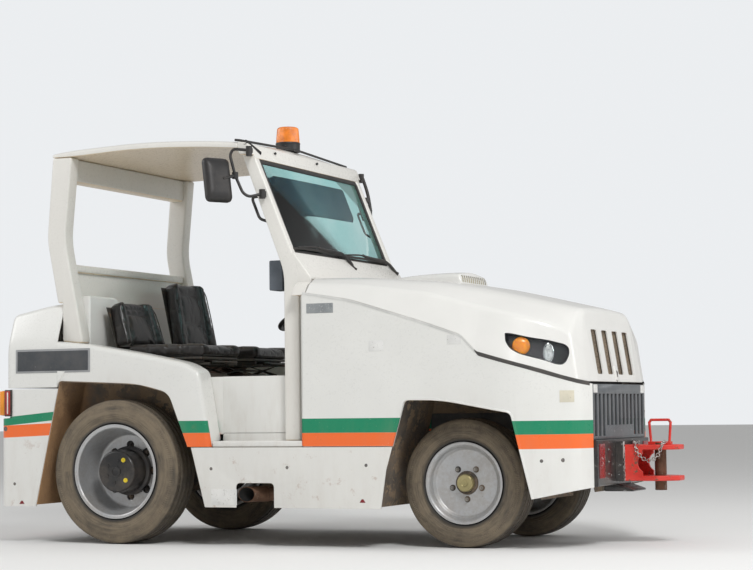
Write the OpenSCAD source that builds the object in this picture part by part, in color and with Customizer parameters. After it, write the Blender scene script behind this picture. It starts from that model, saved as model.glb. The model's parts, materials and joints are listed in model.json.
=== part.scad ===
// Small open-cab aircraft tow tractor, right-hand side towards -Y, nose towards +X.
// X runs forward from the middle of the overall length, Z up from the ground, millimetres.

/* [Overall] */
// distance from rear axle to front axle
wheelbase = 2000; // [1900:10:2100]
// width over the side panels
body_w = 1560; // [1500:10:1640]
// rear axle to the rear end of the rear coupling
rear_tip = 870; // [850:10:900]
// front axle to the grille face
nose_reach = 675; // [650:5:700]
// grille face to the tip of the front coupling
jaw_reach = 335; // [320:5:360]

/* [Heights] */
// ground to the lower edge of the skirts
skirt_z = 210; // [190:5:240]
// top of the cab step
step_z = 565; // [550:5:580]
// top of the seat platform
seat_z = 915; // [895:5:935]
// underside of the roof at its edge
roof_z = 2172; // [2140:4:2200]

/* [Rear wheels] */
// rear tyre outside diameter
rear_d = 800; // [780:4:816]
// rear tyre width
rear_w = 225; // [215:2:235]
// outer face of the rear tyre from the middle plane
rear_face = 762; // [750:2:770]
// rear rim flange diameter
rear_rim_d = 521; // [500:1:540]

/* [Front wheels] */
// front tyre outside diameter
front_d = 676; // [660:4:690]
// front tyre width
front_w = 215; // [205:2:225]
// outer face of the front tyre from the middle plane
front_face = 589; // [580:1:600]
// front rim flange diameter
front_rim_d = 430; // [415:1:440]
// kingpin from the middle plane
kingpin_y = 370; // [360:1:380]

/* [Sheets] */
// wall of the plastic body panels
skin = 7; // [5:1:10]
// chassis rail plate thickness
rail_t = 20; // [16:1:25]
// windscreen glass thickness
glass_t = 6; // [5:1:8]

/* [Hidden] */
$fn = 64;
fit = 0.3;
gap = 9;
half = body_w / 2;
rear_x = -(wheelbase + nose_reach + jaw_reach - rear_tip) / 2;
nose_x = wheelbase + nose_reach;
rear_r = rear_d / 2;
front_r = front_d / 2;
cab_in = half - 150;
dx_front = wheelbase - 2000;
groove_z = 866;
hinge_x = 1230;
hinge_z = 1412;
rail_z0 = 490;
rail_z1 = 600;
mid_y = 310;
pin_x = 218;
pin_r = 31;
links = 26;
link_step = 14.8;
front_y = 160;

module at_rear() {
  translate([rear_x, 0, 0]) children();
}
module slab_y(y0, y1) {
  translate([0, y1, 0]) rotate([90, 0, 0]) linear_extrude(y1 - y0) children();
}
module slab_x(x0, x1) {
  translate([x0, 0, 0]) rotate([90, 0, 90]) linear_extrude(x1 - x0) children();
}
module slab_z(z0, z1) {
  translate([0, 0, z0]) linear_extrude(z1 - z0) children();
}
module box(a, b) {
  translate(a) cube(b - a);
}
module both() {
  children();
  mirror([0, 1, 0]) children();
}
module spin_y(side) {
  rotate([-90 * side, 0, 0]) rotate_extrude() children();
}
module rod_y(r, y0, y1) {
  translate([0, y0, 0]) rotate([-90, 0, 0]) cylinder(r = r, h = y1 - y0);
}
module bar(a, b, r) {
  d = b - a;
  l = norm(d);
  translate(a) rotate([0, acos(d[2] / l), atan2(d[1], d[0])]) cylinder(r = r, h = l);
}
module loft(rows) {
  n = len(rows[0]);
  m = len(rows);
  pts = [for (r = rows) each r];
  side = [for (i = [0:m - 2], j = [0:n - 1])
    let (a = i * n + j, b = i * n + (j + 1) % n, c = a + n, d = b + n)
      each [[a, b, c], [b, d, c]]];
  polyhedron(points = pts, faces = concat([[for (j = [n - 1:-1:0]) j]], side,
    [[for (j = [0:n - 1]) (m - 1) * n + j]]), convexity = 6);
}
// left normal of a segment, and a polyline moved sideways by d with mitred corners
function nrm(a, b) = let (v = b - a) [-v[1], v[0]] / norm(v);
function moved(p, d) = [for (i = [0:len(p) - 1])
  let (m = len(p) - 1,
    n1 = i == 0 ? nrm(p[0], p[1]) : nrm(p[i - 1], p[i]),
    n2 = i == m ? nrm(p[m - 1], p[m]) : nrm(p[i], p[i + 1]))
    p[i] + (n1 + n2) * d / (1 + n1 * n2)];
function closed_moved(p, d) = let (n = len(p)) [for (i = [0:n - 1])
  let (a = nrm(p[(i + n - 1) % n], p[i]), b = nrm(p[i], p[(i + 1) % n]))
    p[i] + (a + b) * d / (1 + a * b)];
// rounded rectangle round the origin, n chords a corner
function rounded(w, h, r, n) = [for (c = [[1, 1, 0], [-1, 1, 90], [-1, -1, 180], [1, -1, 270]],
  i = [0:n]) [c[0] * (w / 2 - r) + r * cos(c[2] + i * 90 / n),
    c[1] * (h / 2 - r) + r * sin(c[2] + i * 90 / n)]];
function rev(p) = [for (i = [len(p) - 1:-1:0]) p[i]];
function ribbon(p, t) = concat(p, rev(moved(p, t)));

// side view outlines, X from the rear axle
function arch_rear() = [[-505, 190], [-345, 905], [165, 881], [354, 830], [415, 676],
  [493, 532], [583, 190]];
function arch_front() = [for (p = [[1612, 190], [1646, 412], [1752, 773], [1953, 771],
  [2328, 701], [2423, 263], [2440, 190]]) [p[0] + dx_front, p[1]]];
function liner_front() = [for (p = [[1572, 215], [1596, 420], [1690, 800], [1960, 815],
  [2350, 745], [2462, 300], [2470, 262]]) [p[0] + dx_front, p[1]]];
// plan outline of the front half, right-hand side, from the cab to the grille
function plan_front() = [[1170, -half], [2300 + dx_front, -half],
  [2480 + dx_front, -half + 78], [2635 + dx_front, -half + 180], [nose_x, -half + 305]];
// seam between the bonnet and the side panels
function seam() = [[1180, 1353], [1451, 1307], [1859 + dx_front, 1180], [2069 + dx_front, 1107],
  [2155 + dx_front, 1018], [2401 + dx_front, 946], [2663 + dx_front, 859],
  [2760 + dx_front, 827]];

// rows of the bonnet: x, outer y and z, ridge y and z, hood edge y and z, middle z,
// and how far the outer and ridge points stand ahead of x
bonnet_rows = [
  [1195, 780, 1350, 738, 1396, 660, 1434, 1446, 0, 0],
  [1451, 780, 1307, 730, 1384, 615, 1429, 1444, 0, 0],
  [1859, 780, 1180, 720, 1329, 560, 1398, 1413, 0, 0],
  [2069, 780, 1107, 712, 1271, 515, 1362, 1378, 0, 0],
  [2155, 780, 1018, 706, 1248, 500, 1343, 1359, 0, 0],
  [2300, 780, 976, 694, 1213, 475, 1310, 1326, 0, 0],
  [2480, 702, 922, 656, 1165, 442, 1268, 1283, 0, 0],
  [2560, 650, 893, 618, 1131, 427, 1249, 1264, 0, 0],
  [2590, 602, 870, 602, 1096, 422, 1240, 1254, 45, 12]];
function bx(x) = x < 1500 ? x : x + dx_front;
function bonnet_row(r, t, drop) = let (k = half - 780, x = bx(r[0]))
  [[x + r[8], -r[1] - k + t, r[2] - drop], [x + r[9], -r[3] - k + t, r[4] - t],
   [x, -r[5] + t / 2, r[6] - t], [x, 0, r[7] - t], [x, r[5] - t / 2, r[6] - t],
   [x + r[9], r[3] + k - t, r[4] - t], [x + r[8], r[1] + k - t, r[2] - drop]];
function lean(z) = nose_x - 10 - (z - 860) * 0.16;
function nose_row(t, drop) = let (k = half - 780)
  [[lean(859 - drop) - t, -487 - k + t, 859 - drop], [lean(1010) - t, -484 - k + t, 1010],
   [lean(1215) - t, -418 + t / 2, 1215 - t], [lean(1228) - t, 0, 1228 - t],
   [lean(1215) - t, 418 - t / 2, 1215 - t], [lean(1010) - t, 484 + k - t, 1010],
   [lean(859 - drop) - t, 487 + k - t, 859 - drop]];
function bonnet_all(t, drop) = concat([for (r = bonnet_rows) bonnet_row(r, t, drop)],
  [nose_row(t, drop)]);
// rows of the air scoop: x, edge height, middle height
scoop_rows = [[1360, 1418, 1434], [1480, 1450, 1466], [1600, 1460, 1477], [1720, 1463, 1481],
  [1800, 1460, 1477], [1838, 1448, 1464], [1854, 1425, 1440], [1858, 1380, 1382]];

// wheels, drawn round Y with the outer side towards +Y
module tyre(r, w, rim, side) {
  b = rim - 12.7;
  spin_y(side) polygon([[b, -w * 0.43], [rim + 2, -w * 0.43], [rim + 8, -w * 0.47],
    [rim + (r - rim) * 0.35, -w * 0.5], [rim + (r - rim) * 0.6, -w * 0.49],
    [r - 22, -w * 0.44], [r - 6, -w * 0.39], [r, -w * 0.32], [r, w * 0.32],
    [r - 6, w * 0.39], [r - 22, w * 0.44], [rim + (r - rim) * 0.6, w * 0.49],
    [rim + (r - rim) * 0.35, w * 0.5], [rim + 8, w * 0.47], [rim + 2, w * 0.43],
    [b, w * 0.43]]);
}
module rear_wheel_at(side) {
  translate([rear_x, side * (rear_face - rear_w / 2), rear_r]) children();
}
module front_wheel_at(side) {
  translate([rear_x + wheelbase, side * (front_face - front_w / 2), front_r]) children();
}
module rear_tyre(side) color([0.2, 0.18, 0.16]) {
  rear_wheel_at(side) tyre(rear_r, rear_w, rear_rim_d / 2, side);
}
module rear_rim(side) color([0.7, 0.71, 0.72]) {
  f = rear_rim_d / 2;
  b = f - 13;
  e = rear_w * 0.43 + fit;
  rear_wheel_at(side) rotate([0, 0, side > 0 ? 0 : 180]) difference() {
    spin_y(1) polygon([[116.5, -76], [b - 9, -76], [b - 9, -e - 8], [f, -e - 8], [f, -e],
      [b - fit, -e], [b - fit, e], [f, e], [f, e + 8], [b - 9, e + 8],
      [b - 9, -40], [b - 30, -64], [116.5, -64]]);
    for (a = [0:7]) rotate([0, a * 45, 0]) translate([0, 0, 141]) rod_y(12.3, -90, -50);
  }
}
module rear_hub(side) color([0.1, 0.1, 0.1]) {
  rear_wheel_at(side) rotate([0, 0, side > 0 ? 0 : 180]) difference() {
    union() {
      rod_y(116, -100, 92);
      rod_y(112, 92, 97);
      rod_y(165, -92, -76.3);
      rod_y(152, -170, -92);
      for (a = [0:7]) rotate([0, a * 45, 0]) translate([0, 0, 141]) {
        rod_y(12, -80, -36);
        rod_y(21, -64 + fit, -44);
      }
    }
    rod_y(45.3, -171, -20);
  }
}
module front_tyre(side) color([0.2, 0.18, 0.16]) {
  front_wheel_at(side) tyre(front_r, front_w, front_rim_d / 2, side);
}
module front_rim(side) color([0.7, 0.71, 0.72]) {
  f = front_rim_d / 2;
  b = f - 13;
  e = front_w * 0.43 + fit;
  front_wheel_at(side) rotate([0, 0, side > 0 ? 0 : 180]) difference() {
    spin_y(1) polygon([[0, 42], [26, 42], [26, -58], [62, -58], [62, 52], [b - 26, 56],
      [b - 8, 34], [b - 8, -e - 8], [f, -e - 8], [f, -e], [b - fit, -e], [b - fit, e],
      [f, e], [f, e + 8], [b - 8, e + 8], [b - 8, 44], [b - 26, 66], [57, 64], [57, 70],
      [46, 70], [46, 92], [40, 96], [0, 96]]);
  }
}

module frame_rails() color([0.13, 0.13, 0.14]) at_rear() {
  rail = [[-690 + fit, -mid_y], [1440, -mid_y], [1590, -front_y], [nose_x - 20, -front_y]];
  both() slab_z(rail_z0, rail_z1) polygon(ribbon(rail, rail_t));
}
// cross members, rear plate and the brackets that carry the side skirts
module cross_members() color([0.13, 0.13, 0.14]) at_rear() {
  w = mid_y - rail_t - fit;
  for (x = [-400, 520, 1340]) box([x, -w, rail_z1 - 60], [x + 80, w, rail_z1]);
  n = front_y - rail_t - fit;
  box([nose_x - 60, -n, rail_z1 - 60], [nose_x - 20, n, rail_z1]);
  box([-710, -500, 300], [-690, 500, 660]);
  // columns: x, inner end
  both() for (r = [[640, mid_y], [1100, mid_y], [1540, 216]])
    box([r[0] - 6, -half + skin + fit, rail_z0 - 60], [r[0] + 6, -r[1] - fit, rail_z0 + 20]);
  both() box([-600, -half + skin + fit, 560], [-588, -mid_y - fit, 600]);
}
module power_unit() color([0.3, 0.31, 0.33]) at_rear() {
  box([1650 + dx_front, -135, 470], [2280 + dx_front, 135, rail_z1 + 1]);
  box([1650 + dx_front, -170, rail_z1 + fit], [2280 + dx_front, 170, 1060]);
  bar([1655 + dx_front, 0, 520], [154, 0, 415], 30);
  box([nose_x - 155, -330, rail_z1 + fit], [nose_x - 85, 330, 1000]);
}
module rear_axle() color([0.14, 0.14, 0.15]) at_rear() translate([0, 0, rear_r]) {
  rod_y(68, -440, 440);
  rod_y(150, -80, 80);
  rod_y(110, -130, 130);
  rotate([0, 90, 0]) cylinder(r = 70, h = 149);
  c = rear_face - rear_w / 2;
  rod_y(45, -c + 22, c - 22);
  both() box([-90, -mid_y - 15, 0], [90, -mid_y + 35, rail_z0 - rear_r - fit]);
}
module front_axle() color([0.14, 0.14, 0.15]) at_rear() translate([wheelbase, 0, front_r])
  difference() {
    union() {
      box([-45, -kingpin_y + 20, -38], [45, kingpin_y - 20, 38]);
      both() translate([0, -kingpin_y, -42]) cylinder(r = 34, h = 84);
      both() box([-60, -front_y - 10, 0], [60, -front_y + 18, rail_z0 - front_r - fit]);
    }
    both() translate([0, -kingpin_y, -60]) cylinder(r = 18.3, h = 120);
  }
module knuckle(side) color([0.16, 0.16, 0.17]) at_rear()
  translate([wheelbase, side * kingpin_y, front_r]) rotate([0, 0, side > 0 ? 0 : 180]) {
    o = front_face - front_w / 2 - kingpin_y;
    cylinder(r = 18, h = 150, center = true);
    for (z = [42.3, -70]) translate([0, 0, z]) cylinder(r = 38, h = 27.7);
    for (z = [42.3, -70]) box([-36, 0, z], [36, 44, z + 27.7]);
    box([-40, 41, -70], [40, o - 58.3, 70]);
    rod_y(25.7, 41, o + 40);
    box([-165, -14, -70], [0, 14, -52]);
  }
module rear_shell() color([0.93, 0.92, 0.89]) at_rear() {
  deck = [[-860, groove_z + 4], [-860, 1285], [-700, 1285], [-460, 1335], [-362, 1345],
    [-362, groove_z + 4]];
  back = [[-half, 800], [-half, 1112], [-half + 75, 1292], [-half + 90, 1350],
    [half - 90, 1350], [half - 75, 1292], [half, 1112], [half, 800]];
  plan = [[-300, -half], [-660, -half], [-700, -half + 40], [-700, half - 40],
    [-660, half], [-300, half]];
  difference() {
    intersection() {
      slab_y(-half, half) polygon(deck);
      slab_x(-800, 0) polygon(back);
      slab_z(0, 2000) polygon(plan);
    }
    intersection() {
      slab_y(-half, half) polygon([[-860, 0], [-860, 1278], [-700, 1278], [-460, 1328],
        [-300, 1338], [-300, 0]]);
      slab_x(-800, 0) polygon(concat([[-half + skin, 0]], moved([for (i = [0:3]) back[i]], -skin),
        moved([for (i = [4:7]) back[i]], -skin), [[half - skin, 0]]));
      slab_z(0, 2000) polygon(moved(plan, -skin));
    }
    slab_y(-half - 10, half + 10) polygon(arch_rear());
  }
  crest = [[-362, 1128], [-168, 1108], [201, 1045], [454, 993], [541, 945], [612, step_z - 30]];
  both() difference() {
    slab_y(-half, -cab_in - 7) polygon(concat([[-362, groove_z + 4]], crest, [[300, step_z - 30]]));
    slab_y(-half + skin, -cab_in - 7 - skin)
      polygon(concat([[-370, 500]], moved(crest, -skin), [[300, 500]]));
    slab_y(-half - 10, -cab_in + 10) polygon(arch_rear());
  }
}
module rear_apron() color([0.93, 0.92, 0.89]) at_rear() {
  low = [[-300, -half], [-710, -half], [-745, -half + 40], [-745, half - 40], [-710, half],
    [-300, half]];
  up = [[-300, -half], [-660, -half], [-700, -half + 40], [-700, half - 40], [-660, half],
    [-300, half]];
  difference() {
    union() {
      slab_z(skirt_z - 5, 700) polygon(ribbon(low, -skin));
      slab_z(700 - skin, groove_z - 4) polygon(ribbon(up, -skin));
      slab_z(700 - skin, 700) difference() {
        polygon(low);
        polygon(moved(up, -skin));
      }
    }
    slab_y(-half - 10, half + 10) polygon(arch_rear());
    box([-760, -140, 320], [-700, 140, 560]);
  }
}
module wheel_houses() color([0.36, 0.31, 0.26]) at_rear() {
  both() slab_y(-half + skin + fit, -500) intersection() {
    polygon(ribbon(arch_rear(), -5));
    translate([-600, 215]) square([1300, 900]);
  }
  both() slab_y(-500, -495) difference() {
    intersection() {
      polygon(arch_rear());
      translate([-600, 620]) square([1300, 400]);
    }
  }
  both() intersection() {
    slab_y(-half + skin + fit, -190) polygon(ribbon(liner_front(), -5));
    slab_z(0, 1200) polygon(concat(moved(plan_front(), skin + fit), [[nose_x, 0], [1170, 0]]));
  }
  both() slab_y(-190, -185) intersection() {
    polygon(liner_front());
    translate([1500 + dx_front, 700]) square([1000, 400]);
  }
}
module side_skirts() color([0.93, 0.92, 0.89]) at_rear() for (side = [-1, 1]) {
  y0 = side > 0 ? half - skin : -half;
  slab_y(y0, y0 + skin) difference() {
    polygon([[583 - 90 * (skirt_z - 190) / 342, skirt_z], [1615 + dx_front, skirt_z],
      [1646 + dx_front, 412], [1681 + dx_front, 531], [494, 531]]);
    if (side < 0) translate([881.5, skirt_z + 50]) polygon(rounded(227, 162, 22, 4));
  }
}
module cab_floor() color([0.86, 0.85, 0.82]) at_rear() {
  box([460, -cab_in - 6, rail_z1 + fit], [1165, cab_in + 6, rail_z1 + 8]);
  both() box([618, -half + 12, step_z - 34], [1162, -cab_in - 66, step_z]);
  both() box([618, -cab_in - 6, step_z - 34], [1040, -cab_in, seat_z]);
  both() box([618, -cab_in - 67, step_z - 34], [1162, -cab_in - 6, step_z - 0.4]);
  both() box([618, -cab_in - 7, step_z - 34], [1162, -cab_in, rail_z1 + 8]);
}
module seat_platform() color([0.86, 0.85, 0.82]) at_rear() {
  box([-355.7, -cab_in + fit, seat_z - 7], [455, cab_in - fit, seat_z]);
  box([448, -490, rail_z1 + 8 + fit], [455, 490, seat_z - 1]);
  box([448, -cab_in + fit, 700], [455, cab_in - fit, seat_z - 1]);
  box([-355.7, -cab_in + fit, seat_z - 1], [-349, cab_in - fit, seat_z + 439]);
  w = cab_in - fit;
  c = [[-w, seat_z - 1], [-302, seat_z - 1], [-302, seat_z + 420], [-310, seat_z + 447],
    [-326, seat_z + 464], [-350, seat_z + 472], [-w, seat_z + 472]];
  difference() {
    slab_x(-355.7, -235) polygon(c);
    slab_x(-349, -241) polygon(closed_moved(c, 6));
  }
}
// seats: side, x, y of the middle, back height
seat_rows = [[-1, 0, -320, 262], [1, 0, 320, 400]];
module seat_cushions() color([0.1, 0.1, 0.11]) at_rear() for (s = seat_rows)
  box([-50, s[2] - 235, seat_z + 115 + fit], [440, s[2] + 235, seat_z + 185]);
module seat_backs() color([0.1, 0.1, 0.11]) at_rear() for (s = seat_rows)
  translate([-75, s[2], seat_z + 186]) rotate([0, -12, 0])
    box([-45, -220, 0], [40, 220, s[3]]);
module seat_mounts() color([0.16, 0.16, 0.16]) at_rear() for (s = seat_rows) {
  box([0, s[2] - 180, seat_z + fit], [390, s[2] + 180, seat_z + 115]);
  box([-130, s[2] - 40, seat_z + 95], [60, s[2] + 40, seat_z + 115]);
  translate([-75, s[2], seat_z + 186]) rotate([0, -12, 0])
    box([-66, -38, -76], [-45 - fit, 38, 170]);
}
module cab_rear_frame() color([0.93, 0.92, 0.89]) at_rear() {
  post = [[-361.7, 1128.3], [-361.7, 1345.3], [-392, 1345.3], [-463, 1706], [-425, roof_z - fit],
    [-300, roof_z - fit], [-345, 1700], [-225, 1114.2]];
  both() slab_y(-cab_in - 90, -cab_in) polygon(post);
  box([-361, -cab_in - 6 + 5, 1345 + fit], [-356, cab_in + 1, 1560]);
  box([-395, -cab_in - 1, 1355], [-361, cab_in + 1, 1570]);
  box([-424, -cab_in - 1, 2040], [-335, cab_in + 1, roof_z - fit]);
}
// rows of the roof: x, underside, edge top, middle top
roof_rows = [[-425, 2172, 2196, 2200], [-290, 2172.5, 2209, 2232], [70, 2190, 2224, 2252],
  [300, 2188, 2222, 2250], [560, 2174, 2208, 2236], [759.7, 2156, 2190, 2217]];
module roof() color([0.93, 0.92, 0.89]) at_rear() translate([0, 0, roof_z - 2172]) difference() {
  loft([for (r = roof_rows) [[r[0], -cab_in - 92, r[1]], [r[0], -cab_in - 92, r[2] - 8],
    [r[0], -cab_in - 60, r[2] + 4], [r[0], 0, r[3]], [r[0], cab_in + 60, r[2] + 4],
    [r[0], cab_in + 92, r[2] - 8], [r[0], cab_in + 92, r[1]]]]);
  translate([712, 0, 2215]) cylinder(r = 78, h = 60);
}
module windscreen_frame() color([0.93, 0.92, 0.89]) at_rear() {
  y1 = cab_in + 60;
  post = [[1020, step_z + fit], [1020, 1470], [770, 2130 + roof_z - 2172],
    [840, 2130 + roof_z - 2172], [1108, 1480], [1108, step_z + fit]];
  both() slab_y(-y1, -y1 + 50) polygon(post);
  u = roof_z - 2172;
  slab_y(-y1 - 31, y1 + 31) polygon([[775, 2120 + u], [760, 2140 + u], [760, 2192 + u],
    [822, 2182 + u], [848, 2116 + u]]);
  slab_y(-y1 + 1, y1 - 1) polygon([[790, 2112 + u], [775, 2124 + u], [840, 2130 + u],
    [855, 2100 + u], [832, 2092 + u]]);
  slab_y(-y1 + 1, y1 - 1) polygon([[1060, 1500], [1036, 1560], [1072, 1582], [1180, 1440],
    [1180, 1425], [1165, 1430]]);
  slab_y(-y1 + 1, y1 - 1) polygon([[1060, 650], [1060, 1520], [1068, 1520], [1068, 650]]);
  both() slab_y(250, 262) polygon([[1066, 1340], [1066, 1386], [1221, 1386], [1221, 1415],
    [1223, 1421], [1237, 1421], [1239, 1415], [1239, 1340]]);
  both() translate([hinge_x, 0, hinge_z]) rod_y(5, 255, 300);
}
module windscreen_glass() color([0.3, 0.62, 0.62, 0.5]) at_rear() {
  y1 = cab_in + 10 - fit;
  slab_y(-y1, y1) polygon([[1050, 1572], [842.5, 2094.8], [842.5 - glass_t, 2092.8],
    [1050 - glass_t, 1570]]);
}
module dashboard() color([0.16, 0.16, 0.17]) at_rear() {
  slab_y(-cab_in + 20, cab_in - 20) polygon([[1059.7, 1100], [1059.7, 1440], [990, 1440],
    [900, 1360], [900, 1180], [960, 1100]]);
  box([905, -cab_in + 40, 1380], [985, -cab_in + 160, 1540]);
}
module steering_wheel() color([0.1, 0.1, 0.1]) at_rear() difference() {
  translate([690, 320, 1290]) rotate([0, -25, 0]) {
    rotate_extrude() translate([190, 0]) circle(r = 14);
    for (a = [90, 210, 330]) rotate([0, 0, a]) rotate([0, 90, 0]) cylinder(r = 9, h = 188);
    cylinder(r = 45, h = 30, center = true);
    translate([0, 0, -800]) cylinder(r = 28, h = 790);
  }
  box([600, 200, 300], [1300, 450, rail_z1 + 8 + fit]);
}
module front_panels() color([0.93, 0.92, 0.89]) at_rear() both() difference() {
  intersection() {
    slab_z(200, 1400) polygon(ribbon(plan_front(), skin));
    slab_y(-half - 5, -200) polygon(concat([[1170, 535]], moved(seam(), -gap),
      [[2800 + dx_front, 330], [2690 + dx_front, 318], [2423 + dx_front, 263],
       [2000 + dx_front, 263], [2000 + dx_front, 535]]));
  }
  slab_y(-half - 10, -half + 60) polygon(arch_front());
}
module bonnet() color([0.93, 0.92, 0.89]) at_rear() difference() {
  union() {
    difference() {
      union() {
        loft(bonnet_all(0, 0));
        loft([for (r = scoop_rows) [[bx(r[0]), -212, 1370], [bx(r[0]), -204, r[1] - 12],
          [bx(r[0]), -184, r[1]], [bx(r[0]), 0, r[2]], [bx(r[0]), 184, r[1]],
          [bx(r[0]), 204, r[1] - 12], [bx(r[0]), 212, 1370]]]);
      }
      loft(bonnet_all(skin, 60));
    }
    both() intersection() {
      box([hinge_x - 14, 268, hinge_z - 14], [hinge_x + 14, 292, 1445]);
      loft(bonnet_all(1, 60));
    }
  }
  both() translate([hinge_x, 0, hinge_z]) rod_y(5.3, 260, 300);
  for (y = [-277, -93, 93, 277]) box([nose_x - 110, y - 43, 898], [nose_x + 40, y + 43, 1100]);
  for (i = [-5:5]) box([1838 + dx_front, i * 32 - 9, 1414], [1870 + dx_front, i * 32 + 9, 1440]);
  both() slab_y(-half, -480) polygon(lamp_shape());
}
function lamp_shape() = [for (p = [[2292, 1109], [2324, 1107], [2414, 1085], [2502, 1070],
  [2580, 1047], [2597, 1028], [2599, 997], [2586, 957], [2567, 941], [2539, 945], [2490, 965],
  [2420, 985], [2367, 1001], [2322, 1029], [2299, 1067]]) [p[0] + dx_front, p[1]]];
// dark bowls whose rims fit the bonnet's openings, each with an indicator and a headlamp
module headlamps() color([0.75, 0.75, 0.72]) at_rear() both() {
  intersection() {
    slab_y(-half, -480) polygon(closed_moved(lamp_shape(), -fit));
    difference() {
      loft(bonnet_all(skin - 3, 0));
      loft(bonnet_all(40, 60));
      difference() {
        slab_y(-half, -480) polygon(closed_moved(lamp_shape(), -5));
        loft(bonnet_all(26, 60));
      }
    }
  }
  $fn = 24;
  k = half - 780;
  bar([2368 + dx_front, -k - 692, 1044], [2376 + dx_front, -k - 716, 1047], 37);
  bar([2497 + dx_front, -k - 643, 1001], [2505 + dx_front, -k - 666, 1003], 35);
}
module grille() color([0.2, 0.21, 0.23]) at_rear() {
  w = half - 305 - 5;
  difference() {
    box([nose_x - 12, -w, 556 + fit], [nose_x, w, 845]);
    for (i = [-6:6]) box([nose_x - 20, i * 70 - 20, abs(i) < 3.5 ? 630 : 575],
      [nose_x + 10, i * 70 + 20, 795]);
  }
}
module front_bumper() color([0.12, 0.12, 0.13]) at_rear() {
  w = half - 305 - 5;
  box([nose_x - 19.7, -w, 318], [nose_x + 20, w, 556]);
  both() box([nose_x + 20, -156, 335], [nose_x + 60, -126, 545]);
  slab_y(-118, 118) polygon([[nose_x - 60, 318], [nose_x + 20, 318], [nose_x + 100, 290],
    [nose_x + 100, 280], [nose_x - 60, 280]]);
}
module front_coupling() color([0.85, 0.16, 0.12]) at_rear() translate([nose_x, 0, 0]) difference() {
  union() {
    box([20 + fit, -125, 335], [60, 125, 524]);
    for (z = [335, 498]) slab_z(z, z + 26) polygon([[50, -118], [230, -118], [jaw_reach - 25, -75],
      [jaw_reach, -45], [jaw_reach, 45], [jaw_reach - 25, 75], [230, 118], [50, 118]]);
    both() box([55, -118, 340], [150, -98, 510]);
  }
  translate([pin_x, 0, 300]) cylinder(r = pin_r + fit, h = 300);
  translate([175, 200, 430]) rotate([90, 0, 0]) cylinder(r = 52, h = 400);
}
// pin with a flat head and a round bar loop that stands along the machine
module tow_pin() color([0.45, 0.28, 0.18]) at_rear() translate([nose_x + pin_x, 0, 0]) {
  $fn = 32;
  translate([0, 0, 284]) cylinder(r = pin_r, h = 250);
  box([-60, -24, 524 + fit], [60, 24, 540]);
  p = [[-50, 0, 538], [-58, 0, 640], [-48, 0, 654], [48, 0, 654], [58, 0, 640], [50, 0, 538]];
  for (i = [0:4]) bar(p[i], p[i + 1], 7);
  for (i = [1:4]) translate(p[i]) sphere(r = 7.2, $fn = 16);
}
// chain that keeps the pin: round links from the top of the jaw over its edge to the pin head
chain_pts = [[96, -84, 536.4], [108, -104, 538], [116, -125, 534], [121, -136, 516],
  [130, -137, 490], [150, -137, 461], [174, -137, 445], [198, -137, 442], [222, -136, 451],
  [240, -134, 470], [251, -131, 492], [258, -124, 513], [261, -111, 530], [261, -93, 538],
  [261, -74, 538], [260, -56, 536.4], [259, -42, 536.4]];
function along(p, s, i = 0) = let (v = p[i + 1] - p[i], l = norm(v))
  s <= l || i > len(p) - 3 ? [p[i] + v * min(s, l) / l, v / l] : along(p, s - l, i + 1);
module pin_chain() color([0.75, 0.75, 0.76]) at_rear() translate([nose_x, 0, 0])
  for (i = [0:links - 1]) {
    q = along(chain_pts, i * link_step);
    translate(q[0]) rotate([0, acos(q[1][2]), atan2(q[1][1], q[1][0])])
      rotate([0, 0, i % 2 * 90]) rotate([90, 0, 0])
        rotate_extrude($fn = 8) translate([9.4, 0]) circle(r = 2.8, $fn = 4);
  }
module rear_coupling() color([0.85, 0.16, 0.12]) at_rear() difference() {
  union() {
    box([-740, -120, 330], [-710 - fit, 120, 550]);
    for (z = [340, 500]) slab_z(z, z + 26) polygon([[-730, -110], [-730, 110], [-820, 110],
      [-rear_tip, 60], [-rear_tip, -60], [-820, -110]]);
    translate([-800, 0, 320]) cylinder(r = 22, h = 225);
  }
}
module tail_lamps() color([0.6, 0.1, 0.08]) at_rear() both()
  box([-752, -half + 8, 712], [-700 - fit, -half + 120, 858]);
module beacon() color([1, 0.5, 0.08]) at_rear() translate([712, 0, 0]) {
  u = roof_z - 2172;
  translate([0, 0, 2215 + fit + u]) cylinder(r = 74, h = 53);
  translate([0, 0, 2265 + u]) cylinder(r1 = 68, r2 = 60, h = 95, $fn = 48);
}
// points of the mirror arm: a tube from the header out, down past the head and back to the post
arm_pts = [[842, -745, 2136], [763, -776, 2144], [745, -780, 2112], [776, -778, 1998],
  [820, -775, 1901], [850, -762, 1880], [906, -716, 1897]];
module mirrors() color([0.14, 0.14, 0.15]) at_rear() both() translate([0, 780 - half, 0]) {
  $fn = 16;
  for (i = [0:5]) bar(arm_pts[i], arm_pts[i + 1], 8);
  for (i = [1:5]) translate(arm_pts[i]) sphere(r = 8.4);
  translate([842, -742, 2104]) cylinder(r = 17, h = 54);
  box([824, -734, 2122], [856, -721 - fit, 2150]);
  translate([906, -714, 1872]) cylinder(r = 17, h = 50);
  box([890, -706, 1880], [920, -690 - fit, 1914]);
  translate([776, -778, 1998]) sphere(r = 21);
  bar([776, -778, 1998], [742, -858, 1975], 9);
  translate([716, -862, 1971]) rotate([0, 0, 60]) rotate([-10, 0, 0])
    loft([for (k = [[24, 1], [8, 1], [-14, 0.86], [-26, 0.62]])
      [for (q = rev(rounded(160, 246, 26, 3))) [q[0] * k[1], k[0], q[1] * k[1]]]]);
}
module exhaust() color([0.4, 0.26, 0.17]) at_rear() {
  translate([830, -755, 280]) rotate([90, 0, -35]) difference() {
    translate([0, 0, -130]) cylinder(r = 42, h = 135);
    translate([0, 0, -100]) cylinder(r = 37, h = 120);
  }
  bar([905, -660, 280], [1400, -520, 300], 40);
  box([1090, -615, 285], [1110, -585, rail_z0 - 60 - fit]);
}

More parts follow.
